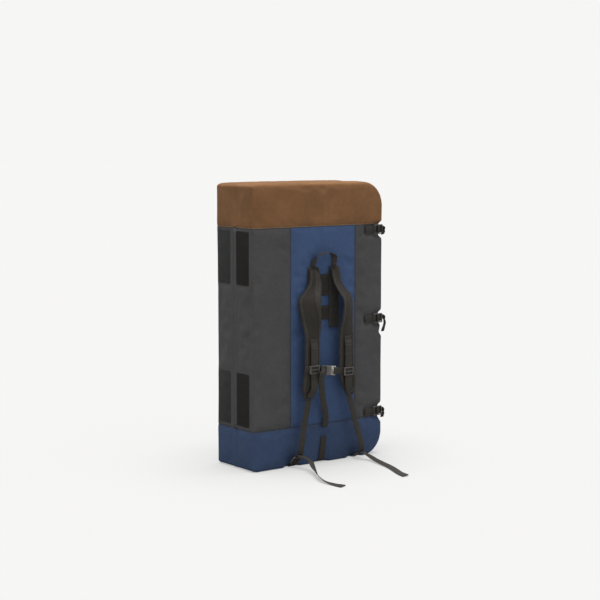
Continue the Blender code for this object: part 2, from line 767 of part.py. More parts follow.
def plug_mesh():
    """Plug of the side-release buckle: its prongs reach to +x, its webbing bar is at -x."""
    half = BUCKLE_WIDTH / 2
    edge = half - SOCKET_WALL - WEB_PLAY
    tip = PRONG_LENGTH
    inner = edge - PRONG_WIDTH
    tongue = TONGUE_WIDTH / 2
    shoulder = -PLUG_NECK
    upper = [
        (-PLUG_BODY, 0),
        (-PLUG_BODY, half),
        (shoulder - PLUG_NECK, half),
        (shoulder, edge),
        (tip - PRONG_WIDTH, edge),
        (tip, edge - PRONG_WIDTH / 2),
        (tip, inner),
        (shoulder, inner),
        (shoulder, tongue),
        (TONGUE_LENGTH, tongue / 2),
        (TONGUE_LENGTH, 0),
    ]
    lower = [(x, -z) for x, z in reversed(upper) if z > 0]
    section = upper[1:-1] + lower
    rings = [[(x, y, z) for x, z in section] for y in (-PLUG_THICKNESS / 2, PLUG_THICKNESS / 2)]
    slot = WEB / 2 + WEB_PLAY * 2
    start = -PLUG_BODY + BAR
    cutter = zone("slot", (start, -OVERRUN, -slot), (start + BUCKLE_BAR_PITCH - BAR, OVERRUN, slot))
    return baked("buckle_plug", loft("plug_block", rings, smooth=False), [cutter])


def slider_mesh():
    """Slider: a flat sleeve round the pad webbing, with three bars across its front."""
    wide = SLIDER_WIDTH / 2
    tall = SLIDER_HEIGHT / 2
    channel = PAD_WEB / 2 + WEB_PLAY * 2
    gap = WEB_THICKNESS / 2 + WEB_PLAY
    slot = (SLIDER_HEIGHT - 3 * SLIDER_BAR) / 2
    block = box_mesh("slider_block", (-wide, -gap - SLIDER_BACK, -tall), (wide, gap + SLIDER_FRONT, tall))
    cutters = [zone("channel", (-channel, -gap, -OVERRUN), (channel, gap, OVERRUN))]
    for bottom in (-tall + SLIDER_BAR, -tall + 2 * SLIDER_BAR + slot):
        cutters.append(zone("slot", (-channel, -gap / 2, bottom), (channel, OVERRUN, bottom + slot)))
    return baked("slider", block, cutters)


def hardware(name, mesh, place, turn, parent=None):
    """Sets a buckle part down: turn's columns are the strap, outward and across directions."""
    obj = new_object(name, mesh, plastic(mesh.name), parent)
    matrix = turn.to_4x4()
    matrix.translation = place
    obj.matrix_parent_inverse = Matrix.Identity(4)
    obj.matrix_basis = Matrix.Translation(-parent.location) @ matrix if parent else matrix
    return obj


def turn_of(along, outward):
    """The turn that takes x to along and y to outward."""
    across = along.cross(outward)
    return Matrix((along, outward, across)).transposed()


def in_frame(place, turn, points):
    """Points given along the strap and outward, set into the frame of a piece of hardware."""
    return [place + turn @ Vector((along, outward, 0)) for along, outward in points]


def threaded(pitch, bar):
    """The strap round a ladder: in under the outer bar, round the middle one and out under the outer bar.

    The middle bar is at 0 and the outer at pitch. The first point is on the loaded side.
    """
    wrap = math.hypot(bar / 2, BAR_THICKNESS / 2) + WEB_PLAY + WEB_THICKNESS / 2
    tail = -BAR_THICKNESS / 2 - WEB_PLAY - WEB_THICKNESS / 2
    load = tail - WEB_THICKNESS - WEB_PLAY
    outside = pitch + bar
    points = [(outside, load), (pitch / 2, load)]
    for step in range(TURN_STEPS + 1):
        angle = math.radians(THREADED_DEGREES * (1 - step / TURN_STEPS))
        points.append((wrap * math.cos(angle), wrap * math.sin(angle)))
    points += [(pitch - bar / 2, tail), (outside, tail)]
    return points


def loop_round(depth, run, flap, drop):
    """A strap folded round a bar at 0: its back layer is drop below the bar and runs towards -x.

    depth is the bar's thickness. The front layer runs back for only the length of the flap.
    """
    wrap = math.hypot(BAR / 2, depth / 2) + WEB_PLAY + WEB_THICKNESS / 2
    over = -drop + WEB_THICKNESS + WEB_PLAY
    neck = wrap * 2
    turn = []
    for step in range(TURN_STEPS + 1):
        angle = math.radians(LOOPED_DEGREES * (step / TURN_STEPS - 1 / 2))
        turn.append((wrap * math.cos(angle), wrap * math.sin(angle)))
    return [(-run, -drop), (-neck, -drop), *turn, (-neck, over), (-flap, over)]


# The carrying harness


def yoke(surface):
    """Two straps sewn to the panel and the two panels that join them."""
    for side, way in (("left", -1), ("right", 1)):
        x = HARNESS_X + way * YOKE_SPREAD
        sewn_sheet(f"yoke_strap_{side}", surface, (x, YOKE_BOTTOM), (x, YOKE_TOP), YOKE_STRAP, YOKE_THICKNESS)
    width = 2 * YOKE_SPREAD - YOKE_STRAP - 2 * FIT
    for level, top, height in (
        ("upper", UPPER_CROSS_TOP, UPPER_CROSS_HEIGHT),
        ("lower", LOWER_CROSS_TOP, LOWER_CROSS_HEIGHT),
    ):
        foot = (HARNESS_X, top - height)
        sewn_sheet(f"cross_panel_{level}", surface, foot, (HARNESS_X, top), width, CROSS_THICKNESS)


def loop_place(surface):
    """Where the haul loop's feet are sewn: just above the yoke straps, in line with them."""
    lie = seat(surface, HARNESS_X, YOKE_TOP) - FIT - YOKE_THICKNESS / 2
    return Vector((HARNESS_X, lie, YOKE_TOP + FIT + WEB_THICKNESS / 2))


def haul_loop(surface, pivot):
    """A webbing arch above the yoke. Its feet lie flat and it stands edge-on at its top."""
    foot = loop_place(surface)
    reach = FRONT - LOOP_STAND_OFF - foot.y
    half = []
    for spread, off, rise in zip(LOOP_SPREAD_SHARES, LOOP_OFF_SHARES, LOOP_RISE_SHARES):
        half.append((YOKE_SPREAD * spread, foot.y + reach * off, foot.z + LOOP_FOOT + LOOP_RISE * rise))
    left = [(HARNESS_X - x, y, z) for x, y, z in half]
    right = [(HARNESS_X + x, y, z) for x, y, z in reversed(half[:-1])]
    arch = smooth_path(left + right, LOOP_STEPS)
    spine = [arch[0] + DOWN * LOOP_FOOT, *arch, arch[-1] + DOWN * LOOP_FOOT]
    across = []
    for index in range(len(spine)):
        angle = math.radians(eased(LOOP_TURN_SHARES, LOOP_TURN_DEGREES, index / (len(spine) - 1)))
        across.append(Vector((math.cos(angle), math.sin(angle), 0)))
    ribbon("haul_loop", spine, across, LOOP_WEB, WEB_THICKNESS, pivot)


def pad_station(way, share):
    """Centre, width, thickness and roll of a shoulder pad at a share of its length."""
    spread = PAD_SPREAD * eased(PAD_STATION_SHARES, PAD_SPREAD_SHARES, share)
    off = PAD_STAND_OFF * eased(PAD_STATION_SHARES, PAD_OFF_SHARES, share)
    width = PAD_WIDTH * eased(PAD_STATION_SHARES, PAD_WIDTH_SHARES, share)
    depth = PAD_THICKNESS * eased(PAD_STATION_SHARES, PAD_DEPTH_SHARES, share)
    roll = math.radians(eased(PAD_STATION_SHARES, PAD_ROLL_DEGREES, share))
    centre = Vector((HARNESS_X + way * spread, FRONT - off, PAD_TOP - PAD_LENGTH * share))
    return centre, width, depth, roll * way


def shoulder_pad(side, way, parent):
    """A padded strap: a soft crowned section that widens over the shoulder and tapers to its tip."""
    rings = []
    for index in range(PAD_RINGS + 1):
        centre, width, depth, roll = pad_station(way, index / PAD_RINGS)
        sideways = Vector((math.cos(roll), math.sin(roll), 0))
        outward = Vector((math.sin(roll), -math.cos(roll), 0))
        rim = depth / 2 * PAD_RIM_SHARE
        shoulder = width * PAD_SHOULDER_SHARE
        high = depth / 2 * PAD_SHOULDER_DEPTH_SHARE
        half = [(width / 2, rim), (shoulder, high), (0, depth / 2), (-shoulder, high), (-width / 2, rim)]
        section = half + [(-a, -b) for a, b in half]
        rings.append([centre + sideways * a + outward * b for a, b in section])
    name = f"shoulder_pad_{side}"
    new_object(name, loft(name, rings), canvas(name, WEBBING_BLACK), parent)


def rail_x(way):
    return HARNESS_X + way * PAD_SPREAD * RAIL_SHARE


def pad_front(way, z):
    centre, _, depth, _ = pad_station(way, (PAD_TOP - z) / PAD_LENGTH)
    return centre.y - depth / 2


def rail_lift():
    """How far the middle of the pad webbing stands off the pad where a slider runs on it."""
    return CHEST_LIFT + WEB_THICKNESS / 2 + FIT + SLIDER_BACK + WEB_PLAY + WEB_THICKNESS / 2


def pad_webbing(side, way, parent):
    """Webbing down the front of a pad, held off it between two stitched ends so that a slider can run."""
    bottom = PAD_TIP + PAD_WEB_END
    lie = FIT + WEB_THICKNESS / 2
    sewn = FRONT - PAD_STAND_OFF - PAD_THICKNESS / 2 - lie
    held = sewn + lie - rail_lift()
    heights = (bottom, RAIL_END, PAD_WEB_TOP - 2 * RAIL_RAMP, PAD_WEB_TOP - RAIL_RAMP, PAD_WEB_TOP)
    places = (pad_front(way, bottom) - lie - FIT, held, held, sewn, sewn)
    tip_x = pad_station(way, (PAD_TOP - bottom) / PAD_LENGTH)[0].x
    spine = []
    for index in range(PAD_WEB_STEPS + 1):
        z = bottom + (PAD_WEB_TOP - bottom) * index / PAD_WEB_STEPS
        x = eased((bottom, RAIL_END, PAD_WEB_TOP), (tip_x, rail_x(way), rail_x(way)), z)
        spine.append(Vector((x, eased(heights, places, z), z)))
    ribbon(f"pad_webbing_{side}", spine, RIGHT, PAD_WEB, WEB_THICKNESS, parent)


def chest_line():
    """Middle of the chest strap between the sliders, and the direction in which it runs."""
    y = FRONT - PAD_STAND_OFF - PAD_THICKNESS / 2 - CHEST_LIFT
    middle = Vector((HARNESS_X, y, (SLIDER_LEFT_Z + SLIDER_RIGHT_Z) / 2))
    along = Vector((rail_x(1) - rail_x(-1), 0, SLIDER_RIGHT_Z - SLIDER_LEFT_Z)).normalized()
    return middle, along


def strap_depth():
    """How far the loaded layer of a strap lies behind the bars of its buckle."""
    return BAR_THICKNESS / 2 + WEB_PLAY * 2 + WEB_THICKNESS * 1.5


def chest_strap(parent, plug_pivot, meshes):
    middle, along = chest_line()
    for side, way, z in (("left", -1, SLIDER_LEFT_Z), ("right", 1, SLIDER_RIGHT_Z)):
        lift = rail_lift() - CHEST_LIFT
        place = Vector((rail_x(way), middle.y - lift, z))
        hardware(f"chest_slider_{side}", meshes["slider"], place, turn_of(RIGHT, OUT), parent)
    mouth = middle + along * CHEST_MOUTH + OUT * strap_depth()
    turn = turn_of(-along, OUT)
    hardware("chest_socket", meshes["socket"], mouth, turn, parent)
    hardware("chest_plug", meshes["plug"], mouth, turn, plug_pivot)
    ladder = mouth - along * (SOCKET_DEPTH + BUCKLE_BAR_PITCH)
    run = threaded(BUCKLE_BAR_PITCH, BAR)
    strap = in_frame(ladder, turn, run)
    start = middle - along * CHEST_LEFT_END
    spine = [start, start.lerp(strap[0], 1 / 2), *strap]
    hanging, across = chest_tail(strap[-1], turn)
    across = [turn.col[2].copy()] * len(spine) + across
    ribbon("chest_strap_left", spine + hanging, across, WEB, WEB_THICKNESS, parent)
    bar = mouth + along * (PLUG_BODY - BAR / 2)
    turn = turn_of(-along, OUT)
    far = CHEST_RIGHT_END - CHEST_MOUTH - PLUG_BODY + BAR / 2
    spine = in_frame(bar, turn, loop_round(PLUG_THICKNESS, far, CHEST_FLAP, strap_depth()))
    ribbon("chest_strap_right", spine, turn.col[2].copy(), WEB, WEB_THICKNESS, parent)


def chest_tail(start, turn):
    """The free end of the chest strap: it curls out of the socket, turns and hangs down the panel."""
    points = [start + Vector(shares) * CHEST_TAIL_CURL for shares in CHEST_CURL_SHARES]
    out, _, low, _ = points
    across = [turn.col[2].copy(), UP.lerp(RIGHT, 1 / 3), UP.lerp(RIGHT, 2 / 3), RIGHT]
    end_y = FRONT - CHEST_TAIL_OFF
    for share, shift in zip(CHEST_TAIL_SHARES, CHEST_TAIL_SHIFT_SHARES):
        x = out.x + CHEST_TAIL_SHIFT * shift
        y = low.y + (end_y - low.y) * share
        points.append(Vector((x, y, start.z - CHEST_TAIL_DROP * share)))
        across.append(RIGHT)
    steps = CHEST_TAIL_STEPS
    spine = smooth_path([start, *points], steps)[1:]
    turns = [turn.col[2].copy(), *across, RIGHT]
    blended = []
    for index in range(1, len(spine) + 1):
        stage = index // steps
        blended.append(turns[stage].lerp(turns[stage + 1], index % steps / steps))
    return spine, blended


def base_lock(side, way):
    """Place and turn of the ladder lock at the foot of a lower webbing."""
    lean = math.radians(LOWER_LEAN_DEGREES[side])
    tip = math.radians(LOWER_TIP_DEGREES[side])
    along = Vector((math.sin(lean) * math.cos(tip), -math.sin(tip), math.cos(lean) * math.cos(tip)))
    across = Vector((math.cos(lean), 0, -math.sin(lean)))
    outward = across.cross(along)
    x = HARNESS_X + way * LOWER_LOCK_OUT[side]
    place = Vector((x, FRONT - LOWER_LOCK_OFF[side], LOWER_LOCK_RISE[side]))
    return place, turn_of(along, outward)


def floor_tail(side, place, start, turn):
    """The free end of a lower webbing: over the lock's top bar, down to the floor and out along it."""
    along = turn.col[0]
    outward = turn.col[1]
    lead = start + along * TAIL_LEAD
    points = [start, lead, lead + along * TAIL_LEAD / 2 + outward * TAIL_LEAD]
    tilts = [0.0, 0.0, 0.0]
    stations = zip(TAIL_REACH_SHARES[side], TAIL_SWAY_SHARES[side], TAIL_LIFT_SHARES[side])
    for (reach, sway, lift), tilt in zip(stations, TAIL_TILT_DEGREES[side]):
        lean = math.radians(tilt)
        rest = TAIL_CLEAR + WEB / 2 * abs(math.sin(lean)) + WEB_THICKNESS / 2 * math.cos(lean)
        x = place.x - TAIL_SWAY[side] * sway
        points.append(Vector((x, FRONT - TAIL_REACH[side] * reach, rest + TAIL_LIFT * lift)))
        tilts.append(tilt)
    steps = TAIL_STEPS
    spine = smooth_path(points, steps)
    across = []
    for index, point in enumerate(spine):
        ahead = spine[min(index + 1, len(spine) - 1)] - spine[max(index - 1, 0)]
        stage = index / steps
        lean = math.radians(eased(range(len(tilts)), tilts, stage))
        if stage < 2:
            across.append(turn.col[2].copy())
        else:
            across.append(UP.cross(ahead).normalized() * math.cos(lean) + UP * math.sin(lean))
    return spine, across


def lower_webbing(side, way, surface, meshes):
    """The adjusting strap on one side of the base: from the pad tip, through the lock and over the floor."""
    place, turn = base_lock(side, way)
    hardware(f"base_lock_{side}", meshes["lock"], place, turn)
    run = in_frame(place, turn, threaded(LOCK_PITCH, LOCK_BAR))
    tip = pad_station(way, 1.0)[0] + DOWN * FIT
    entry = run[0] + turn.col[0] * LOWER_SLACK
    middle = (tip + entry) / 2
    upper = [tip, *smooth_path([tip + DOWN * TAIL_LEAD, middle, entry, run[0]], LOWER_STEPS)]
    spine, across = floor_tail(side, place, run[-1], turn)
    flat = [RIGHT.lerp(turn.col[2], index / (len(upper) - 1)) for index in range(len(upper))]
    across = flat + [turn.col[2].copy()] * (len(run) - 1) + across[1:]
    ribbon(f"lower_webbing_{side}", upper + run[1:] + spine[1:], across, WEB, WEB_THICKNESS)
    base_anchor(side, place - turn.col[0] * LOCK_PITCH, turn, surface)


def base_anchor(side, bar, turn, surface):
    """Webbing folded round a base lock's inner bar, both ends sewn at the lower edge."""
    fold = in_frame(bar, turn, loop_round(BAR_THICKNESS, 0, 0, WEB_THICKNESS / 2 + WEB_PLAY / 2)[1:-1])
    sewn, normal, _, _ = surface.ray_cast(Vector((bar.x, FRONT - OVERRUN, ANCHOR_FOOT)), -OUT)
    foot = sewn + normal * (FIT + WEB_THICKNESS / 2)
    spine = [foot, *fold, foot + normal * (WEB_THICKNESS + WEB_PLAY)]
    across = [RIGHT, *[turn.col[2].copy()] * len(fold), RIGHT]
    ribbon(f"base_anchor_{side}", spine, across, WEB, WEB_THICKNESS)


def centre_webbing(surface):
    """Flat webbing sewn down the middle of the boot and over its lower edge."""
    rows = [OUTER_EDGE * (1 - math.sin(math.pi / 2 * step / EDGE_STEPS)) for step in range(EDGE_STEPS - 1)]
    heights = [CENTRE_WEB_FOOT, *reversed(rows), CENTRE_WEB_TOP]
    shares = [(z - CENTRE_WEB_FOOT) / (CENTRE_WEB_TOP - CENTRE_WEB_FOOT) for z in heights]
    foot = (HARNESS_X - CENTRE_WEB_LEAN, CENTRE_WEB_FOOT)
    head = (HARNESS_X + CENTRE_WEB_LEAN, CENTRE_WEB_TOP)
    sewn_sheet("centre_webbing", surface, foot, head, WEB, WEB_THICKNESS, shares)


# The closures


def closure_side():
    """The x of the closure side under a strap."""
    return WIDTH / 2 - CLOSURE_DRAW


def socket_mouth(z):
    x = closure_side() + SOCKET_THICKNESS / 2 + SOCKET_SIDE_CLEAR
    return Vector((x, REAR_INNER + SOCKET_FROM_FOLD, z))


def closure_tab(level, z, surface, place, turn):
    """Webbing folded round the lock's inner bar and sewn to the harness face."""
    bar = place - turn.col[0] * CLOSURE_LOCK_PITCH
    lie = FIT + WEB_THICKNESS / 2
    fold = in_frame(bar, turn, loop_round(BAR_THICKNESS, 0, 0, 0)[2:-2])
    back = []
    for step in range(TAB_STEPS + 1):
        x = CLOSURE_TAB_END + (bar.x - CLOSURE_TAB_NECK - CLOSURE_TAB_END) * step / TAB_STEPS
        back.append(Vector((x, seat(surface, x, z) - lie, z)))
    front = [point + OUT * (WEB_THICKNESS + WEB_PLAY) for point in reversed(back)]
    ribbon(f"closure_tab_{level}", back + fold + front, UP, WEB, WEB_THICKNESS)


def closure_strap(level, z, place, turn):
    """The strap from the plug, round the corner of the harness half and through the ladder lock."""
    mouth = socket_mouth(z)
    bar = mouth - Vector((0, PLUG_BODY - BAR / 2, 0))
    lie = closure_side() + FIT + WEB_THICKNESS / 2
    turn_side = turn_of(Vector((0, 1, 0)), RIGHT)
    edge = FRONT + CROWN + OUTER_EDGE
    run = bar.y - edge
    wrapped = in_frame(bar, turn_side, loop_round(PLUG_THICKNESS, run, CLOSURE_FLAP, bar.x - lie))
    wrapped.reverse()
    centre = Vector((closure_side() - OUTER_EDGE, edge, z))
    threading = in_frame(place, turn, threaded(CLOSURE_LOCK_PITCH, LOCK_BAR))
    corner = []
    for degrees in CORNER_WRAP_DEGREES:
        angle = math.radians(degrees)
        corner.append(centre + Vector((math.cos(angle), -math.sin(angle), 0)) * CORNER_WRAP)
    tail = closure_tail(level, threading[-1])
    spine = wrapped + corner + threading + tail[0]
    across = [UP] * (len(wrapped) + len(corner) + len(threading)) + tail[1]
    ribbon(f"closure_strap_{level}", spine, across, WEB, WEB_THICKNESS)


def closure_tail(level, start):
    """The free end past the lock: it leaves sideways, turns over and hangs."""
    drop = CLOSURE_TAIL_DROPS[level]
    reach = CLOSURE_TAIL_OUTS[level]
    twist = math.radians(CLOSURE_TAIL_TWIST_DEGREES)
    edge_on = OUT * math.cos(twist) - RIGHT * math.sin(twist)
    points = [start + RIGHT * reach / 3]
    for share, out in zip(CLOSURE_TAIL_SHARES, CLOSURE_TAIL_OUT_SHARES):
        points.append(start + (RIGHT * out + OUT * share / 4) * reach + DOWN * drop * share)
    spine = smooth_path([start, *points], 2)[1:]
    count = len(spine)
    return spine, [UP.lerp(edge_on, min(2 * index / count, 1)).normalized() for index in range(1, count + 1)]


def closure(level, surface, rear, meshes):
    z = CLOSURE_HEIGHTS[level]
    x = WIDTH / 2 - CLOSURE_LOCK_INSET
    y = seat(surface, x - CLOSURE_LOCK_PITCH, z) - strap_depth() - WEB_THICKNESS / 2 - FIT
    place = Vector((x, y, z))
    turn = turn_of(RIGHT, OUT)
    hardware(f"closure_lock_{level}", meshes["closure_lock"], place, turn)
    closure_tab(level, z, surface, place, turn)
    closure_strap(level, z, place, turn)
    mouth = socket_mouth(z)
    pivot = empty(f"closure_slide_{level}", mouth)
    turn = turn_of(Vector((0, 1, 0)), RIGHT)
    hardware(f"closure_plug_{level}", meshes["plug"], mouth, turn, pivot)
    hardware(f"closure_socket_{level}", meshes["socket"], mouth, turn, rear)
    bar = mouth + Vector((0, SOCKET_DEPTH + 2 * BUCKLE_BAR_PITCH, 0))
    lie = closure_side() + FIT + WEB_THICKNESS / 2
    run = CLOSURE_ANCHOR_RUN
    turn = turn_of(Vector((0, -1, 0)), RIGHT)
    spine = in_frame(bar, turn, loop_round(BAR_THICKNESS, run, run, bar.x - lie))
    ribbon(f"closure_anchor_{level}", spine, UP, WEB, WEB_THICKNESS, rear)


def build():
    clear_scene()
    fold = empty("fold_axis", (HINGE_X, FOLD_Y, 0))
    colours = {"cap_cover": CANVAS_BROWN, "sleeve_cover": CANVAS_GREY, "boot_cover": BOOT_BLUE}
    front_covers = covers("front", FRONT, -FRONT, colours, None)
    harness_panel(front_covers["sleeve_cover"])
    foam_core("front", FRONT, -FRONT, None)
    covers("rear", REAR_OUTER, REAR_INNER, colours, fold)
    foam_core("rear", REAR_OUTER, REAR_INNER, fold)
    hinge_strip(fold)
    patches(fold)
    surface = harness_surface()
    meshes = {
        "lock": lock_mesh("ladder_lock", LOCK_PITCH),
        "closure_lock": lock_mesh("closure_ladder_lock", CLOSURE_LOCK_PITCH),
        "socket": socket_mesh(),
        "plug": plug_mesh(),
        "slider": slider_mesh(),
    }
    yoke(surface)
    haul_loop(surface, empty("haul_loop_axis", loop_place(surface)))
    lift = empty("harness_axis", pad_station(0, 0.0)[0])
    chest = empty("chest_slide", chest_line()[0])
    plug = empty("chest_plug_slide", chest_line()[0] + chest_line()[1] * CHEST_MOUTH)
    for side, way in (("left", -1), ("right", 1)):
        shoulder_pad(side, way, lift)
        pad_webbing(side, way, lift)
        lower_webbing(side, way, surface, meshes)
    chest_strap(chest, plug, meshes)
    centre_webbing(surface)
    for level in CLOSURE_HEIGHTS:
        closure(level, surface, fold, meshes)


build()
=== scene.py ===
import math

import bmesh
import bpy
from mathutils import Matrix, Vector
from mathutils.bvhtree import BVHTree


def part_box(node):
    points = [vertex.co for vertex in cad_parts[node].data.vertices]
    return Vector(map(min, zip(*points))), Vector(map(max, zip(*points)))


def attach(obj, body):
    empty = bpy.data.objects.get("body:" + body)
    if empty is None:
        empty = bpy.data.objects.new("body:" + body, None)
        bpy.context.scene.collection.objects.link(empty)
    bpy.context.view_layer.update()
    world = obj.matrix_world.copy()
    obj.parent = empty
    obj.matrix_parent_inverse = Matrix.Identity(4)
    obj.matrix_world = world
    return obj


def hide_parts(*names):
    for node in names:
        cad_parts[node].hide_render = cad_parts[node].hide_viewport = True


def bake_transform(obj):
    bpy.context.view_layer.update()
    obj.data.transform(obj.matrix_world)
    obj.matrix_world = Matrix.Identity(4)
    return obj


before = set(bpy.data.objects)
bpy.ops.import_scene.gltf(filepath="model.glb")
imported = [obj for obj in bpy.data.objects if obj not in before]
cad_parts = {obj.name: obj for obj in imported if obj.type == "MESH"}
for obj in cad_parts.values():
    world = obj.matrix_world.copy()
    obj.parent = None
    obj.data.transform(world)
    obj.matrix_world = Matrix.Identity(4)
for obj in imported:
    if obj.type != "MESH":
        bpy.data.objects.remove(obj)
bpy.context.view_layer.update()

# Places read from the frame
HALF_LOW, HALF_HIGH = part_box("front_sleeve_cover")
CAP_LOW, CAP_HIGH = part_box("front_cap_cover")
BOOT_LOW, BOOT_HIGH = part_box("front_boot_cover")
REAR_LOW, REAR_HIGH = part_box("rear_cap_cover")
PANEL_LOW, PANEL_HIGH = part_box("harness_panel")
HEIGHT = CAP_HIGH[2]
WIDTH = -2 * CAP_LOW[0]
CAP_SEAM = (CAP_LOW[2] + HALF_HIGH[2]) / 2
BOOT_SEAM = (BOOT_HIGH[2] + HALF_LOW[2]) / 2
FRONT = CAP_LOW[1]
REAR_INNER = REAR_LOW[1]
REAR_OUTER = REAR_HIGH[1]
FOLD_Y = (REAR_INNER - FRONT) / 2
LEVELS = ("upper", "middle", "lower")
CLOSURE_HEIGHTS = [sum(corner[2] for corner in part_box(f"closure_socket_{level}")) / 2 for level in LEVELS]
SIDES = (("left", -1), ("right", 1))

# Shape of the padded halves: as in the part under what is sewn to them, and fuller away from it
CLOSURE_CORNER = 0.085
HINGE_CORNER_WIDE = 0.034
HINGE_CORNER_TALL = 0.0105
HINGE_CORNER_LEAST = 0.0015
OUTER_EDGE = 0.018
FULL_EDGE = 0.009
REAR_EDGE = 0.006
INNER_EDGE = 0.007
CROWN = 0.006
FULL_CROWN = 0.002
FULL_NEAR = 0.004
FULL_FAR = 0.030
FULL_FAR_CLOSURE = 0.016
SKIN_SMOOTHINGS = 3
FULL_DRAW = 0.001
FLOOR_CLEAR = 0.0004
CROWN_FLAT_SHARE = 0.62
CLOSURE_DRAW = 0.004
CLOSURE_DRAW_SPAN = 0.036
CLOSURE_DRAW_FLAT_SHARE = 0.5
CORNER_STEPS = 20
EDGE_STEPS = 8
CROWN_STEPS = 8
SIDE_STEPS = 120

# Points closer than this are one
SAME_PLACE = 1e-5

# Fabric of the covers
COVER_VOXEL = 0.008
COVER_INSET = 0.0006
FULL_INSET = -0.0015
COVER_SLACK_SHARE = 0.0035
COVER_PRESSURE = 1.5
COVER_RISE = 0.0022
SEAM_ROWS = (0.0012, 0.0035)
SEAM_DEPTH = 0.0014
SEAM_REACH = 0.0030
PIN_REACH = 0.014
COVER_WALL = 0.0008
FOAM_SHRINK = 0.0022
PIPING_RADIUS = 0.0010
SEAM_CORD = 0.0013

# Stitching
STITCH = 0.0032
STITCH_GAP = 0.0012
STITCH_RADIUS = 0.00035
SEAM_STITCH_OFFSET = 0.0065
PATCH_STITCH_INSET = 0.0030

# Straps
STRAP_STEP = 0.007
EDGE_ROUND_SHARE = 0.46
HEM_LENGTH = 0.014
TAIL_HEM_LENGTH = 0.030
HEM_SHARE = 2.3
SELVEDGE_STEPS = 2

# Shoulder pads
PAD_VOXEL = 0.0038
PAD_SHRINK = 0.0015
PAD_PRESSURE = 4.0
PAD_SWELL = 0.003
PAD_HELD_NEAR = 0.002
PAD_HELD_FAR = 0.010
PAD_BINDING = 0.0017
BINDING_WIDTH = 0.009
BINDING_WALL = 0.0007
BINDING_COLUMNS = 6
FACING_WIDTH = 0.030
FACING_LOW_SHARE = 0.56
FACING_HIGH_SHARE = 0.90
RIM_STEP = 0.006
SEEK_OFFSET = 0.030
TACK_TALL = 0.0026
TACK_INSET = 0.003
TACK_PITCH = 0.0011
TACK_HEIGHTS = {"left": (0.4545, 0.4505, 0.4227), "right": (0.4404, 0.4227, 0.3925)}
PANEL_HEM = 0.004

# Fabric over the fold, and the patches beside it
LOOP_SHIFT = 0.006
PATCH_LIFT = 0.0006
PATCH_EDGE = 0.0004
PATCH_FLAT_ANGLE = 0.01
PATCH_EDGE_ANGLE = 0.9
HINGE_REACH = 0.0115
HINGE_HEM = 0.0120
HINGE_DIVE = 0.0014
HINGE_DIVE_REACH = 0.0035
HINGE_WALL = 0.0006
FABRIC_CLEAR = 0.0003
HINGE_SEAM_AT = 0.0061
HINGE_SEAM_DEPTH = 0.0011
HINGE_SEAM_WIDTH = 0.0018
HINGE_END_GAP = 0.0015
HINGE_FOOT_GAP = 0.0050
HINGE_CORD = 0.0022
HINGE_ROWS = 40
HINGE_BENDS = 6
HINGE_COLUMNS = 66

# Cloth simulation
CLOTH_FRAMES = 20
CLOTH_STIFFNESS = 12.0
CLOTH_BENDING = 12.0

# Weaves, piles, grains and the depth of their relief
CANVAS_PITCH = 0.0011
BOOT_PITCH = 0.0016
PAD_PITCH = 0.0014
CANVAS_RELIEF = 0.00022
CANVAS_RIPPLE = 0.0010
WEB_RIB = 0.0016
WEB_CORD = 0.0025
WEB_RELIEF = 0.00035
HOOK_ACROSS = 0.0018
HOOK_ALONG = 0.0016
HOOK_RELIEF = 0.0008
LOOP_RELIEF = 0.0010
NYLON_RELIEF = 0.00008
FOAM_RELIEF = 0.0006
DENSE_CELL = 0.0012
OPEN_CELL = 0.0025

# Buckles
BUCKLE_EDGE = 0.0005
BUCKLE_EDGE_STEPS = 3
BUCKLE_EDGE_DEGREES = 30.0
PLUG_DARK_TO = 0.0050
PLUG_DARK_FADE = 0.0020
PLUG_DARK_SHARE = 0.22

# Colours, linear
CANVAS_BROWN = (0.156, 0.078, 0.035)
CANVAS_GREY = (0.056, 0.056, 0.058)
CANVAS_BLUE = (0.040, 0.068, 0.140)
BOOT_BLUE = (0.034, 0.054, 0.105)
PIPING_TAN = (0.215, 0.135, 0.080)
WEB_BLACK = (0.031, 0.028, 0.024)
PAD_BLACK = (0.028, 0.025, 0.022)
HOOK_BLACK = (0.013, 0.011, 0.008)
LOOP_GREY = (0.025, 0.024, 0.024)
PLASTIC_BLACK = (0.042, 0.039, 0.036)
PLUG_GREY = (0.118, 0.110, 0.103)
THREAD_DARK = (0.025, 0.024, 0.024)
THREAD_LIGHT = (0.058, 0.054, 0.049)
SEAM_SHADOW = (0.009, 0.009, 0.010)
FOAM_DENSE = (0.10, 0.10, 0.11)
FOAM_OPEN = (0.62, 0.58, 0.44)

# Camera, floor and light
CAMERA_PLACE = Vector((-3.2045, -4.221, 1.156))
CAMERA_AZIMUTH = -36.80
CAMERA_PITCH = 6.18
LENS_SHARE = 1491 / 600
SENSOR = 36.0
FLOOR_SIZE = 60.0
FLOOR_DROP = 0.0005
FLOOR_COLOUR = (0.375, 0.373, 0.370)
FLOOR_GLOW = (0.450, 0.449, 0.446)
FLOOR_GLOW_SHARE = 0.5
SKY_SEEN = (0.922, 0.922, 0.914)
SKY_LIGHT = 0.66
SKY_SLOPE = 0.36
SKY_BRIGHT_SIDE = Vector((0.707, -0.707, 0.0))
TOP_LIGHT_DEGREES = 45.0
TOP_LIGHT_STRENGTH = 5.9

UP = Vector((0, 0, 1))
RIGHT = Vector((1, 0, 0))
OUT = Vector((0, -1, 0))


# Shader helpers


def feed(tree, node, inputs):
    """Gives a node's inputs their values, or links them from sockets."""
    for key, value in inputs.items():
        if isinstance(value, bpy.types.NodeSocket):
            tree.links.new(value, node.inputs[key])
        else:
            node.inputs[key].default_value = value


def shader_node(tree, kind, inputs=None, **settings):
    node = tree.nodes.new(kind)
    for key, value in settings.items():
        setattr(node, key, value)
    feed(tree, node, inputs or {})
    return node


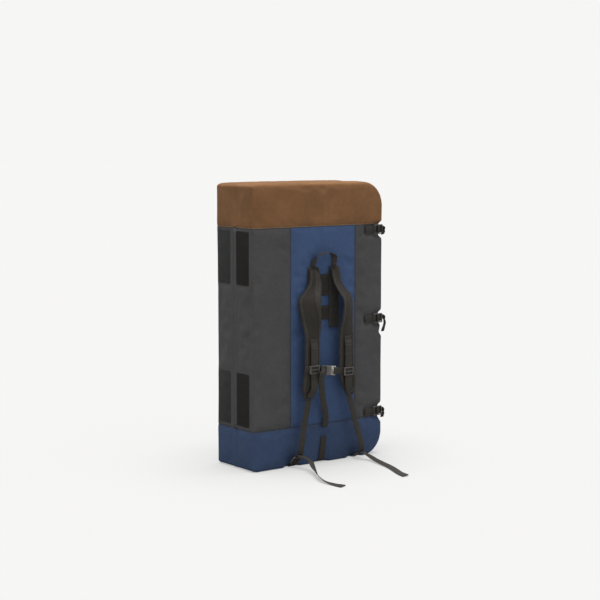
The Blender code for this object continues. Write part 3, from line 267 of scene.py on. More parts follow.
def maths(tree, operation, first, second=0.0, third=0.0):
    values = {0: first, 1: second, 2: third}
    return shader_node(tree, "ShaderNodeMath", values, operation=operation).outputs[0]


def product(tree, *factors):
    result = factors[0]
    for factor in factors[1:]:
        result = maths(tree, "MULTIPLY", result, factor)
    return result


def noise(tree, place, scale, detail=3.0, roughness=0.5):
    values = {"Vector": place, "Scale": scale, "Detail": detail, "Roughness": roughness}
    return shader_node(tree, "ShaderNodeTexNoise", values).outputs["Fac"]


def ramp(tree, value, low, high, start, end):
    """Maps value from low..high to start..end, smoothly."""
    values = {"Value": value, "From Min": low, "From Max": high, "To Min": start, "To Max": end}
    return shader_node(tree, "ShaderNodeMapRange", values, interpolation_type="SMOOTHSTEP").outputs["Result"]


def tinted(tree, colour, factor):
    """The colour times a factor socket."""
    scaled = shader_node(tree, "ShaderNodeVectorMath", {0: colour, "Scale": factor}, operation="SCALE")
    return scaled.outputs["Vector"]


def material_base(name):
    material = bpy.data.materials.new(name)
    material.use_nodes = True
    return material, material.node_tree


def finished(material, **inputs):
    """Feeds the material's shader, whose sockets are named here with _ for each space."""
    tree = material.node_tree
    named = {name.replace("_", " "): value for name, value in inputs.items()}
    feed(tree, tree.nodes["Principled BSDF"], named)
    return material


def object_place(tree):
    return shader_node(tree, "ShaderNodeTexCoord").outputs["Object"]


def metres(tree):
    """Texture coordinates in metres, from the UV map."""
    place = shader_node(tree, "ShaderNodeTexCoord").outputs["UV"]
    parts = shader_node(tree, "ShaderNodeSeparateXYZ", {"Vector": place}).outputs
    return place, parts["X"], parts["Y"]


def bump(tree, height, distance, normal=None):
    values = {"Height": height, "Distance": distance, "Strength": 1.0}
    if normal:
        values["Normal"] = normal
    return shader_node(tree, "ShaderNodeBump", values).outputs["Normal"]


def threads(tree, place, pitch):
    """A row of rounded threads along one coordinate: 0 between them, 1 on their backs."""
    turns = product(tree, place, math.pi / pitch)
    return maths(tree, "ABSOLUTE", maths(tree, "SINE", turns))


def canvas(name, colour, pitch=CANVAS_PITCH, patchy=0.10):
    """Coated woven canvas: a plain weave, uneven yarns, soft blotches and a little edge sheen."""
    material, tree = material_base(name)
    place, across, along = metres(tree)
    over = product(tree, maths(tree, "ADD", threads(tree, across, pitch), threads(tree, along, pitch)), 0.5)
    yarn = noise(tree, place, 900.0, 2.0)
    blotch = noise(tree, place, 9.0, 4.0, 0.6)
    fine = noise(tree, place, 70.0, 3.0, 0.6)
    light = product(
        tree,
        ramp(tree, blotch, 0.3, 0.7, 1 - patchy, 1 + patchy),
        ramp(tree, fine, 0.3, 0.7, 0.95, 1.05),
        ramp(tree, over, 0.2, 0.9, 0.86, 1.08),
        ramp(tree, yarn, 0.3, 0.7, 0.93, 1.07),
    )
    coarse = bump(tree, noise(tree, place, 26.0, 3.0, 0.55), CANVAS_RIPPLE)
    return finished(
        material,
        Base_Color=tinted(tree, colour, light),
        Roughness=ramp(tree, fine, 0.3, 0.7, 0.72, 0.84),
        Sheen_Weight=0.02,
        Sheen_Roughness=0.45,
        Specular_IOR_Level=0.06,
        Normal=bump(tree, over, CANVAS_RELIEF, coarse),
    )


def webbing(name, colour):
    """Flat woven webbing: ribs across it in a shallow chevron, with smooth selvedges."""
    material, tree = material_base(name)
    place, across, along = metres(tree)
    slant = product(tree, maths(tree, "ABSOLUTE", across), 0.35)
    ribs = threads(tree, maths(tree, "ADD", along, slant), WEB_RIB)
    cords = threads(tree, across, WEB_CORD)
    weave = maths(tree, "ADD", product(tree, ribs, 0.7), product(tree, cords, 0.3))
    wear_and_highlight = noise(tree, place, 60.0, 4.0, 0.6)
    light = product(tree, ramp(tree, weave, 0.1, 0.9, 0.70, 1.15), ramp(tree, wear_and_highlight, 0.3, 0.7, 0.88, 1.12))
    colour = tinted(tree, colour, light)
    relief = bump(tree, weave, WEB_RELIEF)
    return finished(
        material, Base_Color=colour, Roughness=0.62, Sheen_Weight=0.02, Specular_IOR_Level=0.10, Normal=relief
    )


def hook_tape(name, colour):
    """Rows of tiny stiff hooks."""
    material, tree = material_base(name)
    _, across, along = metres(tree)
    dots = product(tree, threads(tree, across, HOOK_ACROSS), threads(tree, along, HOOK_ALONG))
    colour = tinted(tree, colour, ramp(tree, dots, 0.2, 0.8, 0.6, 1.25))
    relief = bump(tree, dots, HOOK_RELIEF)
    return finished(material, Base_Color=colour, Roughness=0.55, Specular_IOR_Level=0.08, Normal=relief)


def loop_tape(name, colour):
    """Soft brushed loops."""
    material, tree = material_base(name)
    place, _, _ = metres(tree)
    fuzz = noise(tree, place, 700.0, 4.0, 0.7)
    patch = noise(tree, place, 40.0, 3.0)
    light = product(tree, ramp(tree, fuzz, 0.3, 0.7, 0.75, 1.25), ramp(tree, patch, 0.3, 0.7, 0.9, 1.1))
    colour = tinted(tree, colour, light)
    relief = bump(tree, fuzz, LOOP_RELIEF)
    return finished(
        material, Base_Color=colour, Roughness=0.95, Specular_IOR_Level=0.05, Sheen_Weight=0.05, Normal=relief
    )


def moulded(name, colour, dark_side=None):
    """Moulded nylon with a fine spark-eroded texture, a soft satin shine, and edges painted paler: a painted
    highlight along them, partly edge wear.

    dark_side gives the x up to which the part is dark, where only one end of it is pale.
    """
    material, tree = material_base(name)
    place = object_place(tree)
    grain = noise(tree, place, 1400.0, 2.0)
    scuff = noise(tree, place, 120.0, 4.0, 0.65)
    # Pointiness paints the edges up to 2.4 times paler: a painted highlight along the bars' edges, partly
    # edge wear.
    wear_and_highlight = shader_node(tree, "ShaderNodeNewGeometry").outputs["Pointiness"]
    light = product(tree, ramp(tree, scuff, 0.45, 0.75, 0.95, 1.25), ramp(tree, wear_and_highlight, 0.50, 0.56, 0.9, 2.4))
    if dark_side is not None:
        x = shader_node(tree, "ShaderNodeSeparateXYZ", {"Vector": place}).outputs["X"]
        end = dark_side + PLUG_DARK_FADE
        light = product(tree, light, ramp(tree, x, dark_side, end, PLUG_DARK_SHARE, 1.0))
    return finished(
        material,
        Base_Color=tinted(tree, colour, light),
        Roughness=ramp(tree, scuff, 0.3, 0.7, 0.36, 0.50),
        Specular_IOR_Level=0.35,
        Normal=bump(tree, grain, NYLON_RELIEF),
    )


def thread(name, colour):
    """Twisted sewing thread."""
    material, tree = material_base(name)
    twist = noise(tree, object_place(tree), 2500.0, 1.0)
    colour = tinted(tree, colour, ramp(tree, twist, 0.3, 0.7, 0.75, 1.25))
    return finished(material, Base_Color=colour, Roughness=0.5)


def foam_block(name, colour, cell):
    """Foam: small open cells."""
    material, tree = material_base(name)
    values = {"Vector": object_place(tree), "Scale": 1 / cell}
    cells = shader_node(tree, "ShaderNodeTexVoronoi", values).outputs["Distance"]
    colour = tinted(tree, colour, ramp(tree, cells, 0.0, 0.6, 0.7, 1.05))
    return finished(material, Base_Color=colour, Roughness=0.95, Normal=bump(tree, cells, FOAM_RELIEF))


# Mesh helpers


def new_object(name, mesh, material):
    obj = bpy.data.objects.new(name, mesh)
    bpy.context.scene.collection.objects.link(obj)
    mesh.materials.clear()
    mesh.materials.append(material)
    return obj


def riding(name, mesh, material, body):
    """A new object with this material, riding one body."""
    obj = new_object(name, mesh, material)
    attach(obj, body)
    return obj


def mesh_of(name, shape):
    """The bmesh as a mesh, with its faces smooth."""
    mesh = bpy.data.meshes.new(name)
    for face in shape.faces:
        face.smooth = True
    shape.to_mesh(mesh)
    shape.free()
    return mesh


def evaluated(obj):
    bpy.context.view_layer.update()
    return bpy.data.meshes.new_from_object(obj.evaluated_get(bpy.context.evaluated_depsgraph_get()))


def cad_shape(node):
    """The mesh of a CAD node, with its doubled points made one."""
    shape = bmesh.new()
    shape.from_mesh(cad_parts[node].data)
    bmesh.ops.remove_doubles(shape, verts=shape.verts, dist=SAME_PLACE)
    return shape


def smoothed(shape):
    for _ in range(SKIN_SMOOTHINGS):
        bmesh.ops.smooth_vert(
            shape, verts=shape.verts, factor=0.5, use_axis_x=True, use_axis_y=True, use_axis_z=True
        )


def refined(shape):
    """Halves the mesh's quads along smooth curves."""
    bmesh.ops.subdivide_edges(shape, edges=shape.edges, cuts=1, smooth=1.0, use_grid_fill=True)


def box_mapped(mesh):
    """Gives the mesh a UV map in metres, laid flat on whichever plane each face is nearest to."""
    layer = mesh.uv_layers.new(name="UVMap") if not mesh.uv_layers else mesh.uv_layers[0]
    for polygon in mesh.polygons:
        size = [abs(part) for part in polygon.normal]
        axis = size.index(max(size))
        for loop in polygon.loop_indices:
            point = mesh.vertices[mesh.loops[loop].vertex_index].co
            layer.data[loop].uv = ((point.y, point.z), (point.x, point.z), (point.x, point.y))[axis]


def along_surface(rings, closed, mapped=None):
    """A tube of quads over rings of points, with its ends filled unless it closes on itself."""
    shape = bmesh.new()
    uv = shape.loops.layers.uv.new("UVMap")
    size = len(rings[0])
    rows = [[shape.verts.new(point) for point in ring] for ring in rings]
    count = len(rows)
    for row in range(count if closed else count - 1):
        for index in range(size):
            after = (index + 1) % size
            below = rows[(row + 1) % count]
            face = shape.faces.new((rows[row][index], rows[row][after], below[after], below[index]))
            if mapped:
                spots = (mapped[row][index], mapped[row][after])
                ends = (mapped[(row + 1) % count][after], mapped[(row + 1) % count][index])
                for loop, spot in zip(face.loops, (*spots, *ends)):
                    loop[uv].uv = spot
    if not closed:
        for row, places in ((rows[0], 0), (rows[-1], -1)):
            face = shape.faces.new(row)
            if mapped:
                for loop, spot in zip(face.loops, mapped[places]):
                    loop[uv].uv = spot
    bmesh.ops.recalc_face_normals(shape, faces=shape.faces)
    return shape


def cord_mesh(name, path, radius, closed=False, sides=8):
    """A round cord along a path."""
    rings = []
    mapped = []
    travelled = 0.0
    count = len(path)
    for index, point in enumerate(path):
        before = path[index - 1] if index or closed else point
        after = path[(index + 1) % count] if index < count - 1 or closed else point
        tangent = (after - before).normalized()
        side = tangent.orthogonal() if abs(tangent.y) > 0.99 else tangent.cross(OUT)
        side.normalize()
        lift = tangent.cross(side)
        angles = [math.tau * step / sides for step in range(sides)]
        rings.append([point + (side * math.cos(a) + lift * math.sin(a)) * radius for a in angles])
        mapped.append([(radius * a, travelled) for a in angles])
        travelled += (path[(index + 1) % count] - point).length
    return mesh_of(name, along_surface(rings, closed, mapped))


def resampled(path, step, closed=False):
    """Evenly spaced points along a path."""
    points = [*path, path[0]] if closed else list(path)
    lengths = [0.0]
    for before, after in zip(points, points[1:]):
        lengths.append(lengths[-1] + (after - before).length)
    count = max(2, round(lengths[-1] / step))
    result = []
    index = 0
    for number in range(count if closed else count + 1):
        target = lengths[-1] * number / count
        while index < len(lengths) - 2 and lengths[index + 1] < target:
            index += 1
        span = lengths[index + 1] - lengths[index]
        share = (target - lengths[index]) / span if span else 0.0
        result.append(points[index].lerp(points[index + 1], share))
    return result


def add_stitches(shape, path, normals):
    """Short raised stitches along a path, lying on a surface with these normals."""
    pitch = STITCH + STITCH_GAP
    travelled = 0.0
    for index in range(len(path) - 1):
        start = path[index]
        end = path[index + 1]
        length = (end - start).length
        while travelled < length:
            middle = start.lerp(end, travelled / length)
            along = (end - start).normalized()
            up = normals[index]
            side = along.cross(up).normalized() * STITCH_RADIUS
            reach = along * STITCH / 2
            top = up * STITCH_RADIUS
            low = [middle - reach - top, middle + reach - top]
            high = [middle - reach * 0.7 + top, middle + reach * 0.7 + top]
            points = [low[0] - side, low[0] + side, low[1] + side, low[1] - side]
            points += [high[0] - side * 0.6, high[0] + side * 0.6, high[1] + side * 0.6, high[1] - side * 0.6]
            verts = [shape.verts.new(point) for point in points]
            for face in ((3, 2, 1, 0), (4, 5, 6, 7), (0, 1, 5, 4), (1, 2, 6, 5), (2, 3, 7, 6), (3, 0, 4, 7)):
                shape.faces.new([verts[corner] for corner in face])
            travelled += pitch
        travelled -= length


# The padded halves


def closure_draw(z, depth):
    """How far the closures draw the skin in at a height."""
    pull = 0.0
    for height in CLOSURE_HEIGHTS:
        away = abs(z - height) / CLOSURE_DRAW_SPAN
        t = min(max((away - CLOSURE_DRAW_FLAT_SHARE) / (2 - CLOSURE_DRAW_FLAT_SHARE), 0), 1)
        pull += 1 - t * t * (3 - 2 * t)
    return depth * pull


def arc(centre, wide, tall, start):
    angles = [math.radians(start + 90 * step / CORNER_STEPS) for step in range(CORNER_STEPS + 1)]
    return [(centre[0] + wide * math.cos(a), centre[1] + tall * math.sin(a)) for a in angles]


def outline(inset, draw):
    """The half seen from the front, as (x, z), shrunk all round by inset."""
    side = WIDTH / 2 - inset
    top = HEIGHT - inset
    round_corner = CLOSURE_CORNER - inset
    wide = max(HINGE_CORNER_WIDE - inset, HINGE_CORNER_LEAST)
    tall = max(HINGE_CORNER_TALL - inset, HINGE_CORNER_LEAST)
    corners = [
        arc((-side + wide, inset + tall), wide, tall, 180),
        arc((side - round_corner, inset + round_corner), round_corner, round_corner, 270),
        arc((side - round_corner, top - round_corner), round_corner, round_corner, 0),
        arc((-side + wide, top - tall), wide, tall, 90),
    ]
    points = []
    for index in range(4):
        points += corners[index]
        last = corners[index][-1]
        first = corners[(index + 1) % 4][0]
        for step in range(1, SIDE_STEPS):
            share = step / SIDE_STEPS
            points.append((last[0] + (first[0] - last[0]) * share, last[1] + (first[1] - last[1]) * share))
    return [(x - closure_draw(z, draw) * max(x, 0) / side, z) for x, z in points]


def half_form(outer, inner, edge, crown, inset, draw):
    """The solid form of one half between y = outer and y = inner, drawn in by inset."""
    way = 1 if inner > outer else -1
    thickness = abs(inner - outer) - 2 * inset
    outer_edge = edge - inset
    inner_edge = INNER_EDGE - inset
    middle = HEIGHT / 2
    face = outline(inset + outer_edge, draw)
    levels = []
    for step in range(CROWN_STEPS + 1):
        share = CROWN_FLAT_SHARE + (1 - CROWN_FLAT_SHARE) * step / CROWN_STEPS
        fall = crown * (step / CROWN_STEPS) ** 2
        levels.append(([(x * share, middle + (z - middle) * share) for x, z in face], fall))
    for step in range(1, EDGE_STEPS + 1):
        angle = math.pi / 2 * step / EDGE_STEPS
        rim = outline(inset + outer_edge * (1 - math.sin(angle)), draw)
        levels.append((rim, crown + outer_edge * (1 - math.cos(angle))))
    for step in range(EDGE_STEPS + 1):
        angle = math.pi / 2 * (1 - step / EDGE_STEPS)
        rim = outline(inset + inner_edge * (1 - math.sin(angle)), draw)
        levels.append((rim, thickness - inner_edge * (1 - math.cos(angle))))
    rings = [[Vector((x, outer + way * (inset + depth), z)) for x, z in ring] for ring, depth in levels]
    return along_surface(rings, False)


CLOSED_BY = {
    "front": [f"closure_{part}_{level}" for part in ("tab", "lock", "strap", "plug") for level in LEVELS],
    "rear": [f"closure_{part}_{level}" for part in ("socket", "anchor") for level in LEVELS],
}
SEWN_ON = ("base_anchor_left", "base_anchor_right", "centre_webbing", "yoke_strap_left", "yoke_strap_right")
PATCHED = {
    "front": ("hook_patch_upper", "hook_patch_lower", "hinge_strip_front"),
    "rear": ("loop_patch_upper", "loop_patch_lower", "hinge_strip_rear"),
}


def remeshed(name, mesh, size):
    """The outer skin of a closed mesh in even quads."""
    obj = new_object(name, mesh, bpy.data.materials[0])
    modifier = obj.modifiers.new("Remesh", "REMESH")
    modifier.mode = "VOXEL"
    modifier.voxel_size = size
    result = evaluated(obj)
    bpy.data.objects.remove(obj, do_unlink=True)
    return result


def seam_distance(point, front):
    """How far a point of the skin is from the nearest sewn seam."""
    away = [abs(point.z - CAP_SEAM), abs(point.z - BOOT_SEAM)]
    if front and point.y < FRONT + OUTER_EDGE and BOOT_SEAM < point.z < CAP_SEAM:
        away += [abs(point.x - PANEL_LOW[0]), abs(point.x - PANEL_HIGH[0])]
    return min(away)


def cut(shape, place, normal):
    """Cuts the whole mesh along a plane and returns the edges of the cut."""
    geometry = shape.verts[:] + shape.edges[:] + shape.faces[:]
    result = bmesh.ops.bisect_plane(shape, geom=geometry, plane_co=place, plane_no=normal, dist=SAME_PLACE)
    return [item for item in result["geom_cut"] if isinstance(item, bmesh.types.BMEdge)]


def loops_of(edges):
    """The edges as ordered chains of points with their normals."""
    beside = {}
    for edge in edges:
        for vert in edge.verts:
            beside.setdefault(vert, []).append(edge)
    chains = []
    left = set(edges)
    while left:
        verts = [vert for edge in left for vert in edge.verts]
        ends = [vert for vert in verts if sum(edge in left for edge in beside[vert]) == 1]
        vert = min(ends or verts, key=lambda v: v.co[:])
        chain = [vert]
        while True:
            onward = [edge for edge in beside[vert] if edge in left]
            if not onward:
                break
            left.discard(onward[0])
            vert = onward[0].other_vert(vert)
            chain.append(vert)
        chains.append([(vert.co.copy(), vert.normal.copy()) for vert in chain])
    return chains


def seam_chain(shape, place, normal):
    """The longest line in which a plane meets the skin, as points with their normals."""
    copy = shape.copy()
    edges = cut(copy, place, normal)
    if not edges:
        edges = [e for e in copy.edges if all(abs((v.co - place).dot(normal)) < SAME_PLACE for v in e.verts)]
    chain = max(loops_of(edges), key=len)
    copy.free()
    return chain


def sew(stitches, shape, place, normal, part=None):
    """Adds a row of stitches where a plane meets the skin, all round or on one part of the front."""
    copy = shape.copy()
    for chain in loops_of(cut(copy, place, normal)):
        kept = [(p, n) for p, n in chain if not part or region(p, True) == part]
        add_stitches(stitches, [p for p, _ in kept], [n for _, n in kept])
    copy.free()


def puckered(shape, front):
    """Draws the skin in along its seams."""
    shape.normal_update()
    moves = []
    for vert in shape.verts:
        away = seam_distance(vert.co, front)
        moves.append((vert, vert.normal * SEAM_DEPTH * math.exp(-((away / SEAM_REACH) ** 2))))
    for vert, move in moves:
        vert.co -= move


def region(point, front):
    if point.z > CAP_SEAM:
        return "cap"
    if point.z < BOOT_SEAM:
        return "boot"
    if front and point.y < FRONT + OUTER_EDGE and PANEL_LOW[0] < point.x < PANEL_HIGH[0]:
        return "panel"
    return "sleeve"


def eased(value, low, high):
    """0 below low, 1 above high and a smooth step between."""
    t = min(max((value - low) / (high - low), 0), 1)
    return t * t * (3 - 2 * t)


def tree_of(nodes):
    """The surfaces of several CAD nodes in one search tree."""
    shape = bmesh.new()
    for node in nodes:
        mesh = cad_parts[node].data.copy()
        mesh.transform(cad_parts[node].matrix_world)
        shape.from_mesh(mesh)
    tree = BVHTree.FromBMesh(shape)
    shape.free()
    return tree


def simulated(name, mesh, pins, pressure, slack, reach):
    """The mesh after a short cloth simulation, with no point further than reach from its start.

    pins holds one weight for each point, and slack is the share by which the fabric is cut too large.
    """
    obj = new_object(name, mesh, bpy.data.materials[0])
    group = obj.vertex_groups.new(name="pins")
    for index, weight in enumerate(pins):
        group.add([index], weight, "REPLACE")
    cloth = obj.modifiers.new("Cloth", "CLOTH")
    settings = cloth.settings
    settings.use_pressure = True
    settings.uniform_pressure_force = pressure
    settings.vertex_group_mass = group.name
    settings.shrink_min = -slack
    settings.tension_stiffness = CLOTH_STIFFNESS
    settings.compression_stiffness = CLOTH_STIFFNESS
    settings.bending_stiffness = CLOTH_BENDING
    settings.effector_weights.gravity = 0
    cloth.collision_settings.use_collision = False
    cloth.point_cache.frame_start = 1
    cloth.point_cache.frame_end = CLOTH_FRAMES
    for number in range(1, CLOTH_FRAMES + 1):
        bpy.context.scene.frame_set(number)
    result = evaluated(obj)
    for before, after in zip(mesh.vertices, result.vertices):
        move = after.co - before.co
        if move.length > reach:
            after.co = before.co + move.normalized() * reach
    bpy.data.objects.remove(obj, do_unlink=True)
    bpy.context.scene.frame_set(1)
    return result


def fold_distance(point, inner):
    """How far a point of the skin is from the edge that the fold runs along."""
    return max(abs(point.y - inner) - INNER_EDGE, point.x + WIDTH / 2)


def half_skin(side, outer, inner):
    """One half's fabric skin in one piece, filled out by simulation and cut along every seam."""
    front = side == "front"
    tight = BVHTree.FromBMesh(half_form(outer, inner, OUTER_EDGE, CROWN, COVER_INSET, CLOSURE_DRAW))
    form = half_form(outer, inner, FULL_EDGE if front else REAR_EDGE, FULL_CROWN, FULL_INSET, FULL_DRAW)
    full = BVHTree.FromBMesh(form)
    closed = tree_of(CLOSED_BY[side])
    sewn = tree_of(SEWN_ON)
    patched = tree_of(PATCHED[side])
    mesh = remeshed(f"{side}_skin", mesh_of("form", form), COVER_VOXEL)
    shape = bmesh.new()
    shape.from_mesh(mesh)
    smoothed(shape)
    pins = []
    for vert in shape.verts:
        place = full.find_nearest(vert.co)[0]
        to_closure = closed.find_nearest(place)[3]
        to_strap = sewn.find_nearest(place)[3]
        fullness = min(eased(to_closure, FULL_NEAR, FULL_FAR_CLOSURE), eased(to_strap, FULL_NEAR, FULL_FAR))
        vert.co = tight.find_nearest(place)[0].lerp(place, fullness)
        to_patch = patched.find_nearest(place)[3]
        held = min(to_closure, to_strap, to_patch, fold_distance(place, inner)) - FULL_NEAR
        pins.append(1 - eased(min(held, seam_distance(place, front)), 0, PIN_REACH))
    shape.to_mesh(mesh)
    shape.clear()
    shape.from_mesh(simulated(f"{side}_cloth", mesh, pins, COVER_PRESSURE, COVER_SLACK_SHARE, COVER_RISE))
    refined(shape)
    for vert in shape.verts:
        vert.co.z = max(vert.co.z, FLOOR_CLEAR)
    seams = [(Vector((0, 0, CAP_SEAM)), UP), (Vector((0, 0, BOOT_SEAM)), UP)]
    if front:
        seams += [(Vector((PANEL_LOW[0], 0, 0)), RIGHT), (Vector((PANEL_HIGH[0], 0, 0)), RIGHT)]
    for place, normal in seams:
        for away in SEAM_ROWS:
            cut(shape, place + normal * away, normal)
            cut(shape, place - normal * away, normal)
        cut(shape, place, normal)
    puckered(shape, front)
    return shape


def split_covers(side, shape, body):
    """Parts the skin into its sewn pieces."""
    front = side == "front"
    pieces = {
        "cap": (f"{side}_cap_cover", "canvas_brown", BROWN),
        "sleeve": (f"{side}_sleeve_cover", "canvas_grey", GREY),
        "boot": (f"{side}_boot_cover", "boot_fabric", BOOT),
        "panel": ("harness_panel", "canvas_blue", BLUE),
    }
    for part, (node, slot, material) in pieces.items():
        if part == "panel" and not front:
            continue
        piece = shape.copy()
        spare = [face for face in piece.faces if region(face.calc_center_median(), front) != part]
        bmesh.ops.delete(piece, geom=spare, context="FACES")
        mesh = mesh_of(f"{node}_fabric", piece)
        box_mapped(mesh)
        obj = riding(f"{node}_fabric", mesh, material, body)
        wall = obj.modifiers.new("Wall", "SOLIDIFY")
        wall.thickness = COVER_WALL
        wall.offset = -1
        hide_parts(node)


def seam_trim(side, shape, body):
    """Piping, cords coloured as painted shadow in the seams, and the stitching beside them."""
    chain = seam_chain(shape, Vector((0, 0, CAP_SEAM)), UP)
    path = resampled([point + normal * PIPING_RADIUS / 2 for point, normal in chain[:-1]], COVER_VOXEL, True)
    name = f"{side}_cap_piping"
    riding(name, cord_mesh(name, path, PIPING_RADIUS, True), PIPING, body)
    sunk_seams(side, shape, body)
    stitches = bmesh.new()
    for seam, way in ((CAP_SEAM, 1), (BOOT_SEAM, 1), (BOOT_SEAM, -1)):
        sew(stitches, shape, Vector((0, 0, seam + way * SEAM_STITCH_OFFSET)), UP)
    if side == "front":
        for x, way in ((PANEL_LOW[0], 1), (PANEL_HIGH[0], -1)):
            sew(stitches, shape, Vector((x + way * SEAM_STITCH_OFFSET, 0, 0)), RIGHT, "panel")
    name = f"{side}_seam_stitching"
    riding(name, mesh_of(name, stitches), THREAD, body)


def sunk_seams(side, shape, body):
    """Cords coloured as painted shadow that lie in the seams, standing for their shade: under the cap's edge,
    round the boot and down the panel's sides.
    """
    lines = [(f"{side}_cap_seam", Vector((0, 0, CAP_SEAM - 2 * PIPING_RADIUS)), UP)]
    lines.append((f"{side}_boot_seam", Vector((0, 0, BOOT_SEAM)), UP))
    if side == "front":
        lines.append(("panel_seam_left", Vector((PANEL_LOW[0], 0, 0)), RIGHT))
        lines.append(("panel_seam_right", Vector((PANEL_HIGH[0], 0, 0)), RIGHT))
    for name, place, normal in lines:
        chain = seam_chain(shape, place, normal)
        closed = normal == UP
        if closed:
            chain = chain[:-1]
        else:
            chain = [(p, n) for p, n in chain if p.y < FRONT + OUTER_EDGE and BOOT_SEAM < p.z < CAP_SEAM]
        path = resampled([point for point, _ in chain], COVER_VOXEL, closed)
        # The cord's colour is painted shadow, standing for the shade in the seam.
        riding(name, cord_mesh(name, path, SEAM_CORD, closed), SEAM, body)


def foams(side, body):
    """The foam sheets inside a half."""
    for part in ("base", "core", "landing"):
        node = f"{side}_{part}_foam"
        material, slot = (OPEN, "foam_open") if part == "core" else (DENSE, "foam_dense")
        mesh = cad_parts[node].data.copy()
        mesh.transform(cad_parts[node].matrix_world)
        obj = riding(f"{node}_block", mesh, material, body)
        weld = obj.modifiers.new("Weld", "WELD")
        weld.merge_threshold = SAME_PLACE
        shrink = obj.modifiers.new("Shrink", "DISPLACE")
        shrink.strength = -FOAM_SHRINK
        shrink.mid_level = 0.0
        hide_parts(node)


# Straps


def in_order(verts):
    """The points of a set, in an order that is the same in each run."""
    return sorted(verts, key=lambda vert: vert.co[:])


def ring_layers(shape, start):
    """Walks from one end of a strap's mesh to the other, four corners at a time, or gives None."""
    seen = set(start)
    layers = [in_order(start)]
    while True:
        fresh = {edge.other_vert(vert) for vert in layers[-1] for edge in vert.link_edges} - seen
        if not fresh:
            return layers if len(seen) == len(shape.verts) else None
        if len(fresh) != 4:
            return None
        seen |= fresh
        layers.append(in_order(fresh))


def strap_rings(node):
    """The CAD strap, from its higher end, as rings of centre, width direction, width and thickness."""
    shape = cad_shape(node)
    layers = None
    longest = 0.0
    for edge in shape.edges:
        corners = {vert for face in edge.link_faces for vert in face.verts}
        found = ring_layers(shape, corners) if len(corners) == 4 else None
        if found:
            middles = [sum((vert.co for vert in layer), Vector()) / 4 for layer in found]
            length = sum((after - before).length for before, after in zip(middles, middles[1:]))
            if length > longest:
                longest = length
                layers = found if middles[0].z > middles[-1].z else found[::-1]
    rings = []
    side = None
    for layer in layers:
        points = [vert.co.copy() for vert in layer]
        centre = sum(points, Vector()) / 4
        first = points[0]
        near, _, far = sorted(points[1:], key=lambda p: (p - first).length)
        middle = (first + near) / 2
        across = (centre - middle).normalized()
        if side and across.dot(side) < 0:
            across = -across
        side = across
        rings.append((centre, across, 2 * (centre - middle).length, (near - first).length))
    shape.free()
    return rings


def curve_point(points, lengths, index, t):
    """A smooth curve through unevenly spaced points, in segment index at t."""

    def slope(place):
        if place == 0:
            return (points[1] - points[0]) / lengths[0]
        if place == len(points) - 1:
            return (points[-1] - points[-2]) / lengths[-1]
        before = (points[place] - points[place - 1]) / lengths[place - 1]
        after = (points[place + 1] - points[place]) / lengths[place]
        return (before * lengths[place] + after * lengths[place - 1]) / (lengths[place] + lengths[place - 1])

    span = lengths[index]
    start, end = points[index], points[index + 1]
    return (
        start * (2 * t**3 - 3 * t**2 + 1)
        + slope(index) * span * (t**3 - 2 * t**2 + t)
        + end * (3 * t**2 - 2 * t**3)
        + slope(index + 1) * span * (t**3 - t**2)
    )


def fine_strap(rings):
    """The strap's stations, close enough together for its bends to look smooth."""
    points = [ring[0] for ring in rings]
    lengths = [max((after - before).length, 1e-6) for before, after in zip(points, points[1:])]
    stations = []
    for index, length in enumerate(lengths):
        count = max(math.ceil(length / STRAP_STEP), 3 if len(rings) > 2 else 1)
        for step in range(count):
            t = step / count
            side = rings[index][1].lerp(rings[index + 1][1], t).normalized()
            width = rings[index][2] + (rings[index + 1][2] - rings[index][2]) * t
            stations.append((curve_point(points, lengths, index, t), side, width, rings[index][3]))
    return [*stations, rings[-1]]


def strap_section(width, thickness):
    """A flat section with round selvedges, as (across, out)."""
    radius = thickness * EDGE_ROUND_SHARE
    points = []
    for way_a, way_b, start in ((1, -1, -90), (1, 1, 0), (-1, 1, 90), (-1, -1, 180)):
        centre = (way_a * (width / 2 - radius), way_b * (thickness / 2 - radius))
        for step in range(SELVEDGE_STEPS + 1):
            angle = math.radians(start + 90 * step / SELVEDGE_STEPS)
            points.append((centre[0] + radius * math.cos(angle), centre[1] + radius * math.sin(angle)))
    return points


def strap_mesh(name, stations, hems):
    """A webbing strap through the stations, thicker over the length of the hem at each end."""
    total = sum((b[0] - a[0]).length for a, b in zip(stations, stations[1:]))
    travelled = 0.0
    rings = []
    mapped = []
    for index, (centre, side, width, thickness) in enumerate(stations):
        before = stations[max(index - 1, 0)][0]
        after = stations[min(index + 1, len(stations) - 1)][0]
        tangent = (after - before).normalized()
        across = (side - tangent * side.dot(tangent)).normalized()
        normal = tangent.cross(across)
        if index:
            travelled += (centre - before).length
        doubled = travelled < hems[0] or total - travelled < hems[1]
        depth = thickness * (HEM_SHARE if doubled else 1.0)
        section = strap_section(width, depth)
        rings.append([centre + across * a + normal * b for a, b in section])
        mapped.append([(a, travelled) for a, _ in section])
    return mesh_of(name, along_surface(rings, False, mapped))


def strap(node, hems=(0.0, 0.0), material=None):
    """The visual strap for a CAD strap node, doubled at its higher and lower end over the lengths in hems.

    It is of webbing as a rule, and still has to ride something.
    """
    name = f"{node}_web"
    obj = new_object(name, strap_mesh(name, fine_strap(strap_rings(node)), hems), material or WEB)
    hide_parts(node)
    return obj


def riding_straps():
    """Every strap that rides one body."""
    for side, _ in SIDES:
        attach(strap(f"yoke_strap_{side}"), "harness_half")
        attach(strap(f"pad_webbing_{side}"), "shoulder_harness")
        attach(strap(f"base_anchor_{side}"), "harness_half")
    for level in ("upper", "lower"):
        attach(strap(f"cross_panel_{level}", material=PAD), "harness_half")
    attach(strap("centre_webbing"), "harness_half")
    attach(strap("haul_loop"), "haul_loop_body")
    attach(strap("chest_strap_left", (0.0, HEM_LENGTH)), "chest_strap")
    for level in LEVELS:
        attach(strap(f"closure_tab_{level}"), "harness_half")
        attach(strap(f"closure_anchor_{level}"), "rear_half")


